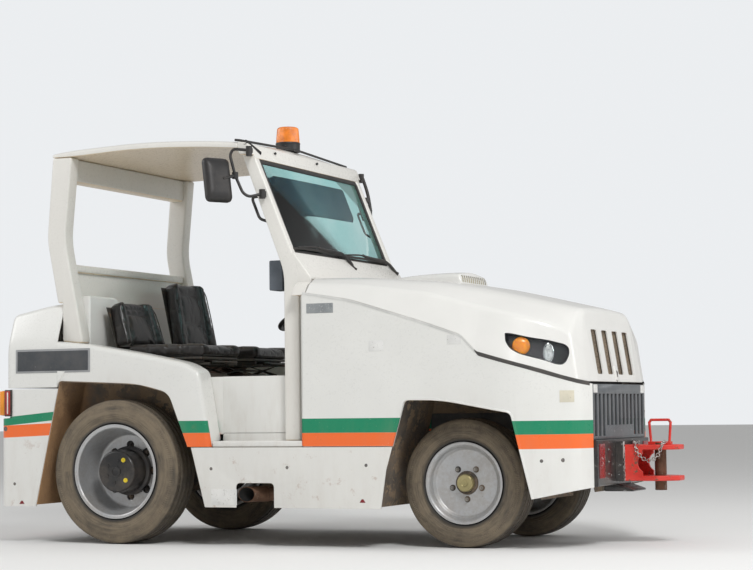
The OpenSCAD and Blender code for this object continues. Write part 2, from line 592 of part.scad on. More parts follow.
frame_rails();
cross_members();
power_unit();
rear_axle();
front_axle();
knuckle(-1);  // knuckle_right
knuckle(1);  // knuckle_left
rear_tyre(-1);  // rear_tyre_right
rear_rim(-1);  // rear_rim_right
rear_hub(-1);  // rear_hub_right
rear_tyre(1);  // rear_tyre_left
rear_rim(1);  // rear_rim_left
rear_hub(1);  // rear_hub_left
front_tyre(-1);  // front_tyre_right
front_rim(-1);  // front_rim_right
front_tyre(1);  // front_tyre_left
front_rim(1);  // front_rim_left
rear_shell();
rear_apron();
wheel_houses();
side_skirts();
cab_floor();
seat_platform();
seat_cushions();
seat_backs();
seat_mounts();
cab_rear_frame();
roof();
windscreen_frame();
windscreen_glass();
dashboard();
steering_wheel();
front_panels();
bonnet();
headlamps();
grille();
front_bumper();
front_coupling();
tow_pin();
pin_chain();
rear_coupling();
tail_lamps();
beacon();
mirrors();
exhaust();
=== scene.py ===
import json
import math

import bmesh
import bpy
import numpy as np
from mathutils import Matrix, Vector

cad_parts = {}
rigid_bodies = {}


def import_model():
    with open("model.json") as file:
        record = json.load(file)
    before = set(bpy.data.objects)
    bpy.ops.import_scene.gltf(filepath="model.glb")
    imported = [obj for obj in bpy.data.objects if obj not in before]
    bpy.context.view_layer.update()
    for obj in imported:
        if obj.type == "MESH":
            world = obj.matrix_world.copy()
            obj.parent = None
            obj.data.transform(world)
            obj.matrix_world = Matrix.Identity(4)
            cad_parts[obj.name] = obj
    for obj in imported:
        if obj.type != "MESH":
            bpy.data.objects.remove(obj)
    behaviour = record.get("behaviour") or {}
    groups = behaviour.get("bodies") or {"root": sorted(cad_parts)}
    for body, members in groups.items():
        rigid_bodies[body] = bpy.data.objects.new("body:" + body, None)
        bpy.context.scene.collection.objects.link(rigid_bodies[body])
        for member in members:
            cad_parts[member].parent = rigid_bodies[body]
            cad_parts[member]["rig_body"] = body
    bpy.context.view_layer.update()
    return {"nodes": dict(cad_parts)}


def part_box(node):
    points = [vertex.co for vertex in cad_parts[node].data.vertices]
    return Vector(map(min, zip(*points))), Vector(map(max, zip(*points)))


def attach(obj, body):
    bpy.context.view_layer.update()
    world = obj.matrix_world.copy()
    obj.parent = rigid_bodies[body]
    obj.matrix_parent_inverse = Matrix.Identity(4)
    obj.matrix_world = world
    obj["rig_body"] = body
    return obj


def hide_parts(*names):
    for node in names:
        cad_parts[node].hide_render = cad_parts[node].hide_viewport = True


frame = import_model()

# The camera stands off the right front corner at the height of the wheels, about eleven metres
# away, with a long lens. Places are given from the rear axle; AXLE is its place in the frame.
low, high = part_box("rear_tyre_right")
AXLE = (low.x + high.x) / 2
swing, pitch, roll = 0.4141, 0.0614, -0.0116
look = Vector((-math.sin(swing) * math.cos(pitch), math.cos(swing) * math.cos(pitch), math.sin(pitch)))
side = Vector((math.cos(swing), math.sin(swing), 0))
rise = side.cross(look)
side, rise = (math.cos(roll) * side + math.sin(roll) * rise, math.cos(roll) * rise - math.sin(roll) * side)
camera = bpy.data.objects.new("camera", bpy.data.cameras.new("camera"))
bpy.context.scene.collection.objects.link(camera)
sensor, focal_px, photo_px = 36.0, 2001.2, 753
camera.data.sensor_width, camera.data.lens = sensor, sensor * focal_px / photo_px
camera.data.clip_start, camera.data.clip_end = 0.5, 200
camera.matrix_world = Matrix((side, rise, -look)).transposed().to_4x4()
camera.location = (AXLE + 5.80365, -10.33412, 0.73353)
bpy.context.scene.camera = camera

# Frame rails, cross members and skirt brackets: cut and welded steel plate in black chassis
# paint, bolted and welded together, brown with road dirt on every upper and outer face.


class Wire:
    """A shader socket to calculate with: each operation on it adds a Math node."""

    def __init__(self, socket):
        self.socket, self.tree = socket, socket.id_data

    def math(self, act, *others):
        return part(self.tree, "Math", dict(enumerate((self, *others))), operation=act)

    def __add__(self, other):
        return self.math("ADD", other)

    def __sub__(self, other):
        return self.math("SUBTRACT", other)

    def __mul__(self, other):
        return self.math("MULTIPLY", other)


def feed(inputs, sockets):
    """Puts a value or a link on each named socket."""
    for name, value in sockets.items():
        if isinstance(value, Wire):
            value.tree.links.new(value.socket, inputs[name])
        else:
            inputs[name].default_value = value


def part(tree, kind, sockets=None, out=0, **settings):
    """Output out of a new shader node with its settings and its sockets fed."""
    made = tree.nodes.new("ShaderNode" + kind)
    for name, value in settings.items():
        setattr(made, name, value)
    feed(made.inputs, sockets or {})
    return Wire(made.outputs[out]) if made.outputs else None


def material(name):
    """A new material, the inputs of its main shader and its Object coordinates."""
    made = bpy.data.materials.new(name)
    made.use_nodes = True
    tree = made.node_tree
    return made, tree.nodes["Principled BSDF"].inputs, part(tree, "TexCoord", out="Object")


def blended(share, a, b):
    """Colour a where share is 0 and colour b where it is 1."""
    ends = {slot: c if isinstance(c, Wire) else (*c, 1) for slot, c in ((6, a), (7, b))}
    return part(share.tree, "Mix", {0: share, **ends}, 2, data_type="RGBA")


def step(value, start, end, out=(0.0, 1.0)):
    """Smooth passage from out[0] to out[1] while value goes from start to end."""
    names = ("Value", "From Min", "From Max", "To Min", "To Max")
    return part(value.tree, "MapRange", dict(zip(names, (value, start, end, *out))), "Result",
                interpolation_type="SMOOTHSTEP")


def cloud(place, scale, detail=4.0, rough=0.6):
    """Fractal noise from 0 to 1 with features about 1/scale metres wide."""
    names = ("Vector", "Scale", "Detail", "Roughness")
    return part(place.tree, "TexNoise", dict(zip(names, (place, scale, detail, rough))))


def split(vector):
    """The three coordinates of a vector."""
    first = part(vector.tree, "SeparateXYZ", {"Vector": vector})
    return [Wire(s) for s in first.socket.node.outputs]


def bumped(rise):
    """Shading normal of a surface raised by rise metres."""
    return part(rise.tree, "Bump", {"Height": rise, "Distance": 1.0, "Strength": 1.0})


def finish(name, colour, rough, metal=0.0, coat=0.0, vary=0.12, scale=7.0, dust=0.3, top=0.9,
           grit=(0.3, 0.22, 0.15), chip=None, chips=0.0, chip_scale=26.0, grain=500.0, depth=0.0002):
    """Painted or moulded surface: colour drifting by vary, chips of another colour where fine noise is
    high, and dust that grows from height top down to the ground; roughness and bump follow them."""
    made, skin, place = material(name)
    broad, fine = cloud(place, scale), cloud(place, scale * 9, 6.0, 0.7)
    shade = blended(step(broad, 0.3, 0.7), [x * (1 - vary) for x in colour],
        [min(1, x * (1 + vary)) for x in colour])
    fall = step(split(place)[2], 0.0, top, (1.0, 0.15))
    film = fall * step(broad * 0.6 + fine * 0.4, 0.38, 0.66) * dust
    gloss = fine * 0.16 + (rough - 0.08) + film * 0.35
    rise = cloud(place, grain, 2.0) * depth
    if chips:
        worn = step(cloud(place, chip_scale, 5.0, 0.75), 0.72 - chips * 0.3, 0.75 - chips * 0.3)
        shade, gloss, rise = blended(worn, shade, chip), gloss + worn * 0.25, rise - worn * 0.0003
    feed(skin, {"Base Color": blended(film, shade, grit), "Roughness": gloss, "Metallic": metal,
        "Coat Weight": coat, "Normal": bumped(rise)})
    return made


def softened(node, name, surface, outer=0.004, rim=0.0012, steps=2, thin=0.011, least=28):
    """Copy of a CAD node with its corners rounded: an edge is rounded by outer, a hollow one by outer less
    the sheet's thickness, and where a face beside it is narrow, by no more than a third of its width."""
    mesh = bpy.data.meshes.new(name)
    shape = bmesh.new()
    shape.from_mesh(frame["nodes"][node].data)
    bmesh.ops.remove_doubles(shape, verts=shape.verts, dist=2e-5)
    bmesh.ops.dissolve_limit(shape, angle_limit=math.radians(0.6), verts=shape.verts, edges=shape.edges)
    bmesh.ops.recalc_face_normals(shape, faces=shape.faces)
    width = {f: 2 * f.calc_area() / max(f.calc_perimeter(), 1e-6) for f in shape.faces}
    weight = shape.edges.layers.float.new("bevel_weight_edge")
    for e in shape.edges:
        if len(e.link_faces) == 2 and e.calc_face_angle(0) > math.radians(least):
            w = min(width[f] for f in e.link_faces)
            want = outer if e.is_convex or w < thin else max(outer - 0.007, rim)
            e[weight] = min(want if w > thin else rim, 0.34 * w) / max(outer, 1e-6)
    shape.to_mesh(mesh)
    shape.free()
    mesh.polygons.foreach_set("use_smooth", np.ones(len(mesh.polygons), bool))
    mesh.materials.clear()
    mesh.materials.append(surface)
    piece = bpy.data.objects.new(name, mesh)
    bpy.context.scene.collection.objects.link(piece)
    bevel = piece.modifiers.new("round", "BEVEL")
    bevel.width, bevel.segments, bevel.limit_method = outer, steps, "WEIGHT"
    bevel.harden_normals, bevel.use_clamp_overlap = True, False
    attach(piece, frame["nodes"][node]["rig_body"])
    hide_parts(node)
    return piece


chassis_black = finish("chassis_black", (0.022, 0.022, 0.024), 0.55, dust=0.75, top=0.8, vary=0.3,
                       chip=(0.16, 0.07, 0.03), chips=0.25, depth=0.0006, grain=160)
softened("frame_rails", "frame_rail_plates", chassis_black, 0.004)
softened("cross_members", "cross_member_plates", chassis_black, 0.004)

# Engine block and cooler: a grey painted casting on the rails with the shaft to the rear axle,
# and behind the grille the cooler's dark block, oily and dusty.
engine_grey = finish("engine_grey", (0.1, 0.105, 0.11), 0.5, metal=0.2, dust=0.5, top=1.2, vary=0.25,
                     chip=(0.05, 0.035, 0.02), chips=0.35, depth=0.0008, grain=120)
softened("power_unit", "engine_block", engine_grey, 0.012)

# Axles and knuckles: black iron castings, bolted under the rails, caked with brown road dirt.
cast_black = finish("cast_black", (0.03, 0.03, 0.03), 0.62, metal=0.35, dust=0.9, top=1.1, vary=0.3,
                    chip=(0.14, 0.07, 0.035), chips=0.4, depth=0.001, grain=220)
for node_name, piece_name in (("rear_axle", "rear_axle_casting"), ("front_axle", "front_axle_beam"),
        ("knuckle_right", "knuckle_casting_right"), ("knuckle_left", "knuckle_casting_left")):
    softened(node_name, piece_name, cast_black, 0.006)

# Tyres: worn highway ribs in black rubber that brown dust has turned tan on the walls. Each is
# pressed over the bead seats of its steel rim.


def built(name, points, faces, outward=True):
    """Object from arrays of points and faces; outward turns the faces of closed parts to the outside."""
    mesh = bpy.data.meshes.new(name)
    mesh.from_pydata(np.asarray(points, float).reshape(-1, 3).tolist(), [], [list(map(int, f)) for f in faces])
    if outward:
        shape = bmesh.new()
        shape.from_mesh(mesh)
        bmesh.ops.recalc_face_normals(shape, faces=shape.faces)
        shape.to_mesh(mesh)
        shape.free()
    made = bpy.data.objects.new(name, mesh)
    bpy.context.scene.collection.objects.link(made)
    return made


def put(name, points, faces, body, surface, slot=None, smooth=35, replaces=(), outward=False):
    """A piece of the object from arrays of points and faces, riding on a body; faces that meet at more
    than smooth degrees keep a sharp edge."""
    piece = built(name, points, faces, outward)
    mesh = piece.data
    mesh.polygons.foreach_set("use_smooth", np.ones(len(mesh.polygons), bool))
    mesh.set_sharp_from_angle(angle=math.radians(smooth))
    mesh.materials.append(surface)
    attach(piece, body)
    if replaces:
        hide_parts(*replaces)
    return piece


def net(rows, columns, around=False, closed=False, start=0, flip=False):
    """Quads of a grid with rows x columns points; around joins the last column to the first, closed the
    last row to the first."""
    i, j = np.meshgrid(np.arange(rows if closed else rows - 1), np.arange(columns if around else columns - 1),
                       indexing="ij")
    i, j, k, m = i.ravel(), j.ravel(), ((i + 1) % rows).ravel(), ((j + 1) % columns).ravel()
    quads = np.stack([i * columns + j, k * columns + j, k * columns + m, i * columns + m], 1) + start
    return quads[:, ::-1] if flip else quads


def rounded(points, radii, n=4):
    """Line whose inner corners become curves: the corner b between a and c turns into the quadratic curve
    from b + (a - b) r / |a - b| to b + (c - b) r / |c - b|, with r at most 0.48 of either side. points is
    (..., k, d), so a whole stack of lines is rounded at once."""
    p = np.asarray(points, float)
    r = np.broadcast_to(np.asarray(radii, float), (p.shape[-2],))
    t = np.linspace(0, 1, n)[:, None]
    out = [p[..., :1, :]]
    for i in range(1, p.shape[-2] - 1):
        a, b, c = p[..., i - 1, :], p[..., i, :], p[..., i + 1, :]
        if r[i] == 0:
            out.append(b[..., None, :])
            continue
        la = np.linalg.norm(a - b, axis=-1, keepdims=True) + 1e-9
        lc = np.linalg.norm(c - b, axis=-1, keepdims=True) + 1e-9
        d = np.minimum(r[i], 0.48 * np.minimum(la, lc))
        s, e = b + (a - b) / la * d, b + (c - b) / lc * d
        out.append((1 - t) ** 2 * s[..., None, :] + 2 * t * (1 - t) * b[..., None, :] + t * t * e[..., None, :])
    out.append(p[..., -1:, :])
    return np.concatenate(out, -2)


def turned(profile, centre, n=96, out=1):
    """Surface of revolution about Y: the profile's (radius, reach) points, reach counted outwards, become
    (radius cos a, out * reach, radius sin a) round centre."""
    a = np.linspace(0, 2 * np.pi, n, endpoint=False)
    r, y = np.asarray(profile, float).T
    ring = np.stack([r[:, None] * np.cos(a), np.broadcast_to(out * y[:, None], (len(r), n)),
        r[:, None] * np.sin(a)], -1)
    return ring + np.asarray(centre, float)


def tyre_points(radius, wide, rim, centre, out, grooves, n=288):
    """Tyre: a turned wall and crown whose radius drops by the tread depth inside the grooves, which wave
    by a sine round the wheel, and by the sipe depth in fine slits on the shoulders."""
    h = radius - rim
    wall = [(rim - 0.01, 0.4), (rim + 0.002, 0.425), (rim + 0.01, 0.47), (rim + 0.02, 0.452),
        (rim + 0.35 * h, 0.497), (rim + 0.55 * h, 0.495), (rim + 0.74 * h, 0.47), (radius - 0.02, 0.455),
        (radius - 0.006, 0.405)]
    left = rounded([(r, -w * wide) for r, w in wall], 0.02, 4)
    crown = np.stack([np.full(61, radius), np.linspace(-0.385, 0.385, 61) * wide], 1)
    crown[:, 0] -= 0.012 * (np.abs(crown[:, 1]) / (0.385 * wide)) ** 4 * 0.5
    profile = np.concatenate([left, crown, left[::-1] * (1, -1)])
    ring = turned(profile, (0, 0, 0), n, out)
    a = np.linspace(0, 2 * np.pi, n, endpoint=False)
    rad, across = profile[:, 0][:, None], profile[:, 1][:, None]
    on_crown = (rad > radius - 0.0075) & (np.abs(across) < 0.386 * wide)
    drop = np.zeros((len(profile), n))
    for g in grooves:
        path = g * wide + 0.0022 * np.sin(a * 34)
        drop = np.maximum(drop, 0.009 * (np.abs(across - path) < 0.0052))
    slit = (np.mod(a * 72 / (2 * np.pi), 1) < 0.16) & (np.abs(across) > 0.3 * wide)
    drop = np.maximum(drop, 0.004 * slit) * on_crown
    scale = (rad - drop) / rad
    ring[..., 0] *= scale
    ring[..., 2] *= scale
    return ring + np.asarray(centre, float)


def tyre_finish(name, centre, rim, radius):
    """Rubber whose dust lies in rings round the axle: clean black in the bead crease, tan on the wall and
    thinner on the running face, broken by streaks along the radius."""
    made, skin, place = material(name)
    tree = place.tree
    x, y, z = split(part(tree, "VectorMath", {0: place, 1: (centre[0], 0, centre[2])}, operation="SUBTRACT"))
    r = part(tree, "VectorMath", {0: part(tree, "CombineXYZ", {"X": x, "Z": z})}, "Value", operation="LENGTH")
    angle = z.math("ARCTAN2", x)
    around = part(tree, "CombineXYZ", {"X": angle * 2.2, "Y": r * 60, "Z": y.math("ABSOLUTE")})
    patches = cloud(around, 1.0, 6.0, 0.65) * 0.55 + cloud(place, 11.0, 5.0, 0.65) * 0.45
    film = step(r, rim + 0.004, rim + 0.03) * step(r, radius - 0.012, radius - 0.004, (1.0, 0.45))
    film = film * step(patches, 0.28, 0.62, (0.22, 0.92))
    # moulded rings and a band of fine radial ribs under the shoulder
    belt = step(r, radius - 0.052, radius - 0.05) * step(r, radius - 0.03, radius - 0.028, (1.0, 0.0))
    ribs = (angle * 190.0).math("SINE") * 0.0009 * belt
    rings = (r * 520.0).math("SINE") * 0.0006 * step(r, rim + 0.07, rim + 0.05)
    feed(skin, {"Base Color": blended(film, (0.019, 0.018, 0.017), (0.225, 0.18, 0.125)),
                "Roughness": step(film, 0.0, 1.0, (0.55, 0.92)),
                "Normal": bumped(ribs + rings + cloud(place, 260.0, 3.0) * 0.0005)})
    return made


rear_z, front_z = (high.z - low.z) / 2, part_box("front_tyre_right")[1].z / 2
front_axle_x = sum(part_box("front_tyre_right")[i].x for i in (0, 1)) / 2
wheels = {}
HANDS = ((-1, "right"), (1, "left"))
for way, hand in HANDS:
    for end, radius, wide, rim, x, bands in (("rear", rear_z, 0.225, 0.2605, AXLE, (-0.27, -0.09, 0.09, 0.27)),
            ("front", front_z, 0.215, 0.215, front_axle_x, (-0.25, -0.08, 0.08, 0.25))):
        lo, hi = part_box(f"{end}_tyre_{hand}")
        centre = (x, (lo.y + hi.y) / 2, radius)
        wheels[end, hand] = centre
        ring = tyre_points(radius, wide, rim, centre, way, bands)
        faces = net(ring.shape[0], ring.shape[1], around=True, closed=True, flip=way > 0)
        put(f"{end}_tyre_rubber_{hand}", ring, faces, f"wheel_{end}_{hand}",
            tyre_finish(f"{end}_tyre_dusty_{hand}", centre, rim, radius), "rubber_tyre", 50,
            [f"{end}_tyre_{hand}"])

# Rear rims: one-piece pressed steel in silver grey paint, a deep dish with a stepped well, its
# flat disc held to the drum by eight nuts that sit in round holes.


def applied(piece):
    """Mesh of a piece with its modifiers applied."""
    return bpy.data.meshes.new_from_object(piece.evaluated_get(bpy.context.evaluated_depsgraph_get()))


def cut(piece, points, faces, body):
    """Takes the closed solid of points and faces out of the piece, which rides on the body."""
    tool = built("tool", points, faces)
    knife = piece.modifiers.new("cut", "BOOLEAN")
    knife.object, knife.operation, knife.solver = tool, "DIFFERENCE", "EXACT"
    bpy.context.view_layer.update()
    done = applied(piece)
    piece.modifiers.remove(knife)
    piece.data = done
    bpy.data.objects.remove(tool)
    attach(piece, body)


def circle(d, n):
    """Unit circle of n points square to the unit vector d, starting from its cross product with up."""
    u = np.cross(d, (0, 0, 1) if abs(d[2]) < 0.9 else (1, 0, 0))
    u /= np.linalg.norm(u)
    a = np.linspace(0, 2 * np.pi, n, endpoint=False)[:, None]
    return np.cos(a) * u + np.sin(a) * np.cross(d, u)


def rod(start, end, radius, n=24, tip=None):
    """Closed round bar between two points as (points, faces): two rings of n points square to the axis,
    of the given radius and, at the end, of tip."""
    s, e = np.asarray(start, float), np.asarray(end, float)
    d = (e - s) / np.linalg.norm(e - s)
    ring = circle(d, n)
    points = np.concatenate([s + radius * ring, e + (radius if tip is None else tip) * ring])
    i = np.arange(n)
    faces = [list(q) for q in np.stack([i, (i + 1) % n, (i + 1) % n + n, i + n], 1)]
    return points, faces + [list(i[::-1]), list(i + n)]


def lathe(profile, centre, n, way, closed=False):
    """Turned surface as (points, faces), closed if its profile is a loop."""
    ring = turned(profile, centre, n, way)
    return ring, net(*ring.shape[:2], around=True, closed=closed, flip=way > 0)


def studs(spots, way, near, far, *shape):
    """Round bars from reach near to reach far at the spots on a wheel."""
    return [rod(s + (0, way * near, 0), s + (0, way * far, 0), *shape) for s in spots]


def together(parts):
    """Several (points, faces) parts as one."""
    points, faces, n = [], [], 0
    for p, f in parts:
        p = np.asarray(p, float).reshape(-1, 3)
        points.append(p)
        faces += [[int(v) + n for v in q] for q in f]
        n += len(p)
    return np.concatenate(points), faces


rim_silver = finish("rim_silver", (0.52, 0.53, 0.54), 0.33, metal=0.55, coat=0.15, dust=0.55, top=1.4,
    vary=0.06, grit=(0.33, 0.28, 0.23), chip=(0.2, 0.17, 0.15), chips=0.12)
hub_black = finish("hub_black", (0.014, 0.014, 0.015), 0.34, coat=0.3, dust=0.18, top=1.2, vary=0.2)
nut_steel = finish("nut_steel", (0.32, 0.31, 0.29), 0.38, metal=0.9, dust=0.35, top=1.4, vary=0.2,
                   chip=(0.14, 0.08, 0.05), chips=0.35)
plug_yellow = finish("plug_yellow", (0.72, 0.55, 0.02), 0.4, dust=0.1)
for way, hand in HANDS:
    x, y, z = wheels["rear", hand]
    body = f"wheel_rear_{hand}"
    dish = rounded([(0.1165, -0.074), (0.196, -0.074), (0.212, -0.066), (0.226, -0.02), (0.242, 0.018),
        (0.244, 0.094), (0.2505, 0.1), (0.26, 0.1005), (0.2605, 0.1045), (0.2575, 0.1052), (0.2465, 0.1046),
        (0.2385, 0.098), (0.2365, 0.022), (0.22, -0.014), (0.2065, -0.055), (0.196, -0.064), (0.1165, -0.064)],
        [0, 0.01, 0.02, 0.02, 0.02, 0.004, 0.003, 0.003, 0.002, 0.003, 0.008, 0.008, 0.02, 0.02, 0.012, 0.012,
        0], 5)
    back = rounded([(0.242, 0.018), (0.2395, -0.09), (0.2505, -0.1), (0.2605, -0.1005), (0.26, -0.105),
        (0.2465, -0.1046), (0.235, -0.09), (0.233, 0.0)], [0, 0.01, 0.003, 0.003, 0.003, 0.01, 0.01, 0], 5)
    shapes = [lathe(profile, (x, y, z), 128, way, True) for profile in (dish, back)]
    rim = put(f"rear_rim_dish_{hand}", *together(shapes), body, rim_silver, "rim_silver", 40,
        [f"rear_rim_{hand}"])
    turn = np.arange(8) * np.pi / 4
    spots = np.stack([x + 0.144 * np.sin(turn), np.full(8, y), z + 0.144 * np.cos(turn)], 1)
    cut(rim, *together(studs(spots, way, -0.1, -0.04, 0.024)), body)
    # nuts, set back in the holes, in front of the black drum
    nuts = studs(spots, way, -0.082, -0.068, 0.0145, 6) + studs(spots, way, -0.07, -0.06, 0.008, 16)
    put(f"rear_wheel_nuts_{hand}", *together(nuts), body, cast_black)
    drum = rounded([(0.165, -0.17), (0.165, -0.0765), (0.12, -0.0765), (0.1375, -0.0635), (0.1375, -0.04),
        (0.128, -0.036), (0.118, -0.03), (0.1165, 0.08), (0.108, 0.093), (0.0, 0.0945)],
        [0, 0, 0, 0, 0.004, 0.004, 0.004, 0.006, 0.006, 0], 5)
    drum[0] = (0.0, -0.17)
    put(f"rear_hub_drum_{hand}", *lathe(drum, (x, y, z), 96, way), body, hub_black, "hub_black", 40,
        [f"rear_hub_{hand}"])
    face = np.array((x, y + way * 0.094, z))
    bolts = studs([face + (0.062 * math.cos(t), 0, 0.062 * math.sin(t))
        for t in np.radians([80, 150, 205, 260])], way, 0, 0.003, 0.011, 6)
    eye = rounded([(0.03, 0.0), (0.03, 0.004), (0.021, 0.004), (0.021, 0.001), (0.0, 0.001)], 0.001, 3)
    put(f"rear_hub_bolts_{hand}", *together(bolts + [lathe(eye, face, 48, way)]), body, hub_black)
    cup = rounded([(0.0125, -0.002), (0.0125, 0.004), (0.0055, 0.004), (0.0055, 0.001), (0, 0.001)], 0.001, 3)
    plugs = [lathe(cup, face + (0.079 * math.cos(t), 0, 0.079 * math.sin(t)), 32, way)
        for t in np.radians([-38, 52])]
    put(f"rear_hub_plugs_{hand}", *together(plugs), body, plug_yellow)

# Front rims: pressed steel, silver grey, nearly flat disc with five studs, and a yellow zinc
# dust cap pressed into the dark hub ring.
cap_zinc = finish("cap_zinc", (0.46, 0.4, 0.2), 0.3, metal=0.85, dust=0.2, top=1.4, vary=0.15)
for way, hand in HANDS:
    x, y, z = wheels["front", hand]
    body = f"wheel_front_{hand}"
    dish = rounded([(0.0265, 0.036), (0.15, 0.036), (0.17, 0.03), (0.193, 0.022), (0.196, -0.088),
        (0.2035, -0.0965), (0.215, -0.097), (0.215, -0.1005), (0.2025, -0.1002), (0.1925, -0.09), (0.1905, 0.0),
        (0.1985, 0.03), (0.2, 0.09), (0.2045, 0.0965), (0.2145, 0.097), (0.215, 0.1002), (0.2125, 0.101),
        (0.202, 0.1003), (0.196, 0.094), (0.19, 0.086), (0.186, 0.07), (0.1795, 0.064), (0.172, 0.055),
        (0.165, 0.0535), (0.12, 0.0505), (0.075, 0.0485), (0.0265, 0.0485)], 0.004, 4)
    put(f"front_rim_disc_{hand}", *lathe(dish, (x, y, z), 128, way, True), body, rim_silver, "rim_silver", 40,
        [f"front_rim_{hand}"])
    hub = rounded([(0.0, -0.058), (0.062, -0.058), (0.0625, 0.0484), (0.06, 0.058), (0.052, 0.062),
        (0.047, 0.0625)], 0.003, 4)
    put(f"front_hub_ring_{hand}", *lathe(hub, (x, y, z), 64, way), body, cast_black)
    cap = rounded([(0.047, 0.06), (0.0465, 0.083), (0.0405, 0.0905), (0.037, 0.0895), (0.0185, 0.09),
        (0.017, 0.0875), (0.0, 0.088)], 0.003, 4)
    put(f"front_hub_cap_{hand}", *lathe(cap, (x, y, z), 64, way), body, cap_zinc)
    turn = np.radians(np.arange(5) * 72 + 36)
    spots = np.stack([x + 0.086 * np.sin(turn), np.full(5, y), z + 0.086 * np.cos(turn)], 1)
    put(f"front_washers_{hand}", *together(studs(spots, way, 0.049, 0.052, 0.0165, 32, 0.0155)), body,
        cast_black)
    nuts = studs(spots, way, 0.052, 0.062, 0.0118, 6, 0.0112)
    nuts += studs(spots, way, 0.06, 0.069, 0.0062, 16, 0.0055)
    put(f"front_nuts_{hand}", *together(nuts), body, nut_steel)

# Wheel houses: bent sheet liners over all four wheels, grey underneath a crust of brown mud
# that the tyres throw up; screwed to the edges of the body panels.
liner_dirty = finish("liner_dirty", (0.17, 0.15, 0.13), 0.85, dust=1.0, top=2.6, vary=0.3, scale=5,
    grit=(0.27, 0.195, 0.13), chip=(0.36, 0.27, 0.18), chips=0.7, chip_scale=9, depth=0.0025, grain=90)
skin = liner_dirty.node_tree.nodes["Principled BSDF"].inputs
shade = Wire(skin["Base Color"].links[0].from_socket)
behind = split(part(shade.tree, "TexCoord", out="Object"))[0]
feed(skin, {"Base Color": blended(step(behind, AXLE - 0.4, AXLE - 0.28, (0.75, 0.0)), shade,
    (0.4, 0.215, 0.09))})
liners = softened("wheel_houses", "wheel_house_liners", liner_dirty, 0.02)
# the front liners end behind the rolled lip of the arch
front_half, lip_inside = 0.3, 0.7655
spots = np.array([v.co[:] for v in liners.data.vertices])
ahead = spots[:, 0] > front_half
spots[ahead, 1] = np.clip(spots[ahead, 1], -lip_inside, lip_inside)
liners.data.vertices.foreach_set("co", spots.ravel())

# Rear shell: white glass fibre moulding over the rear wheels, with rounded fender crests. The
# green and orange stripes are film, laid on the sides only.
GREEN, ORANGE = (0.0, 0.235, 0.112), (0.9, 0.155, 0.025)


def panel_paint(name, bands=(), rust=0.25, muck=0.4, tint=(0.775, 0.775, 0.745), gloss=0.28, low=0.25,
        underside_shade=0.4):
    """White enamel. bands are film stripes (first x, last x, height at first x, rise per metre, width, colour)
    seen only where the surface looks sideways. Brown dust grows downwards and towards the wheels, in a cloud
    pulled into vertical runs; rust stains follow a coarser cloud; faces that look downwards get a painted warm
    beige shade."""
    made, skin, place = material(name)
    tree = place.tree
    x, _, z = split(place)
    normal = split(part(tree, "TexCoord", out="Normal"))
    soft = 0.0006
    specks = cloud(place, 75.0, 6.0, 0.75)
    shade = blended(step(cloud(place, 2.5), 0.3, 0.7), [c * 0.965 for c in tint], tint)
    side_on, scuff = step(normal[1].math("ABSOLUTE"), 0.12, 0.2), step(specks, 0.66, 0.7, (1.0, 0.25))
    for first, last, height, rise, width, colour in bands:
        middle = (x - (AXLE + first)) * rise + (height - width / 2)
        here = side_on
        for off, half in (((z - middle).math("ABSOLUTE"), width / 2),
                          ((x - (AXLE + (first + last) / 2)).math("ABSOLUTE"), (last - first) / 2)):
            here = here * step(off, half - soft, half + soft, (1.0, 0.0))
        shade = blended(here * scuff, shade, colour)
    dusty = step(z, low, low + 0.65, (1.0, 0.0)) + 0.06
    for cx, cz, r in ((AXLE, 0.4, 0.47), (front_axle_x, 0.338, 0.42)):
        away = part(tree, "VectorMath", {0: part(tree, "CombineXYZ", {"X": x, "Z": z}), 1: (cx, 0, cz)},
            "Value", operation="DISTANCE")
        dusty = dusty.math("MAXIMUM", step(away, r, r + 0.14, (1.0, 0.0)))
    runs = cloud(part(tree, "Mapping", {"Vector": place, "Scale": (17, 17, 4.0)}), 1.0, 6.0, 0.7)
    dusty = dusty * step(runs, 0.4, 0.8, (0.2, 1.0)) * muck
    stain = step(cloud(place, 12.0, 6.0, 0.7), 0.6, 0.7) * step(z, 0.35, 0.95, (rust, 0.0))
    shade = blended(stain, blended(dusty, shade, (0.4, 0.31, 0.23)), (0.3, 0.13, 0.055))
    # painted warm shade: faces that look downwards are tinted beige
    shade = blended(step(normal[2], -0.9, -0.3, (underside_shade, 0.0)), shade, (0.84, 0.67, 0.46))
    wave = cloud(place, 170.0, 2.0) * 0.00018 + cloud(place, 5.0, 2.0) * 0.0012
    feed(skin, {"Base Color": shade, "Coat Weight": 0.25, "Coat Roughness": 0.15, "Normal": bumped(wave),
                "Roughness": specks * 0.1 + (gloss - 0.05) + dusty.math("MAXIMUM", stain) * 0.45})
    return made


def mm(points, side=-1):
    """Points in millimetres from the rear axle, given for the right side and mirrored where side is 1, in
    the frame's metres."""
    return np.asarray(points, float) * (0.001, -0.001 * side, 0.001) + (AXLE, 0, 0)


def walled(grid, thick):
    """Closed sheet from a grid of outer points: its inner side lies thick behind them along the normal, the
    cross product of the grid's two differences, and strips join the two round the rim."""
    grid = np.asarray(grid, float)
    rows, columns = grid.shape[:2]
    normal = np.cross(np.gradient(grid, axis=0), np.gradient(grid, axis=1))
    normal /= np.linalg.norm(normal, axis=-1, keepdims=True) + 1e-12
    points = np.concatenate([grid.reshape(-1, 3), (grid - thick * normal).reshape(-1, 3)])
    index, n = np.arange(rows * columns).reshape(rows, columns), rows * columns
    rim = np.concatenate([index[0, :-1], index[:-1, -1], index[-1, :0:-1], index[:0:-1, 0]])
    strip = np.stack([rim, np.roll(rim, -1), np.roll(rim, -1) + n, rim + n], 1)
    return points, np.concatenate([net(rows, columns), net(rows, columns, start=n, flip=True), strip[:, ::-1]])


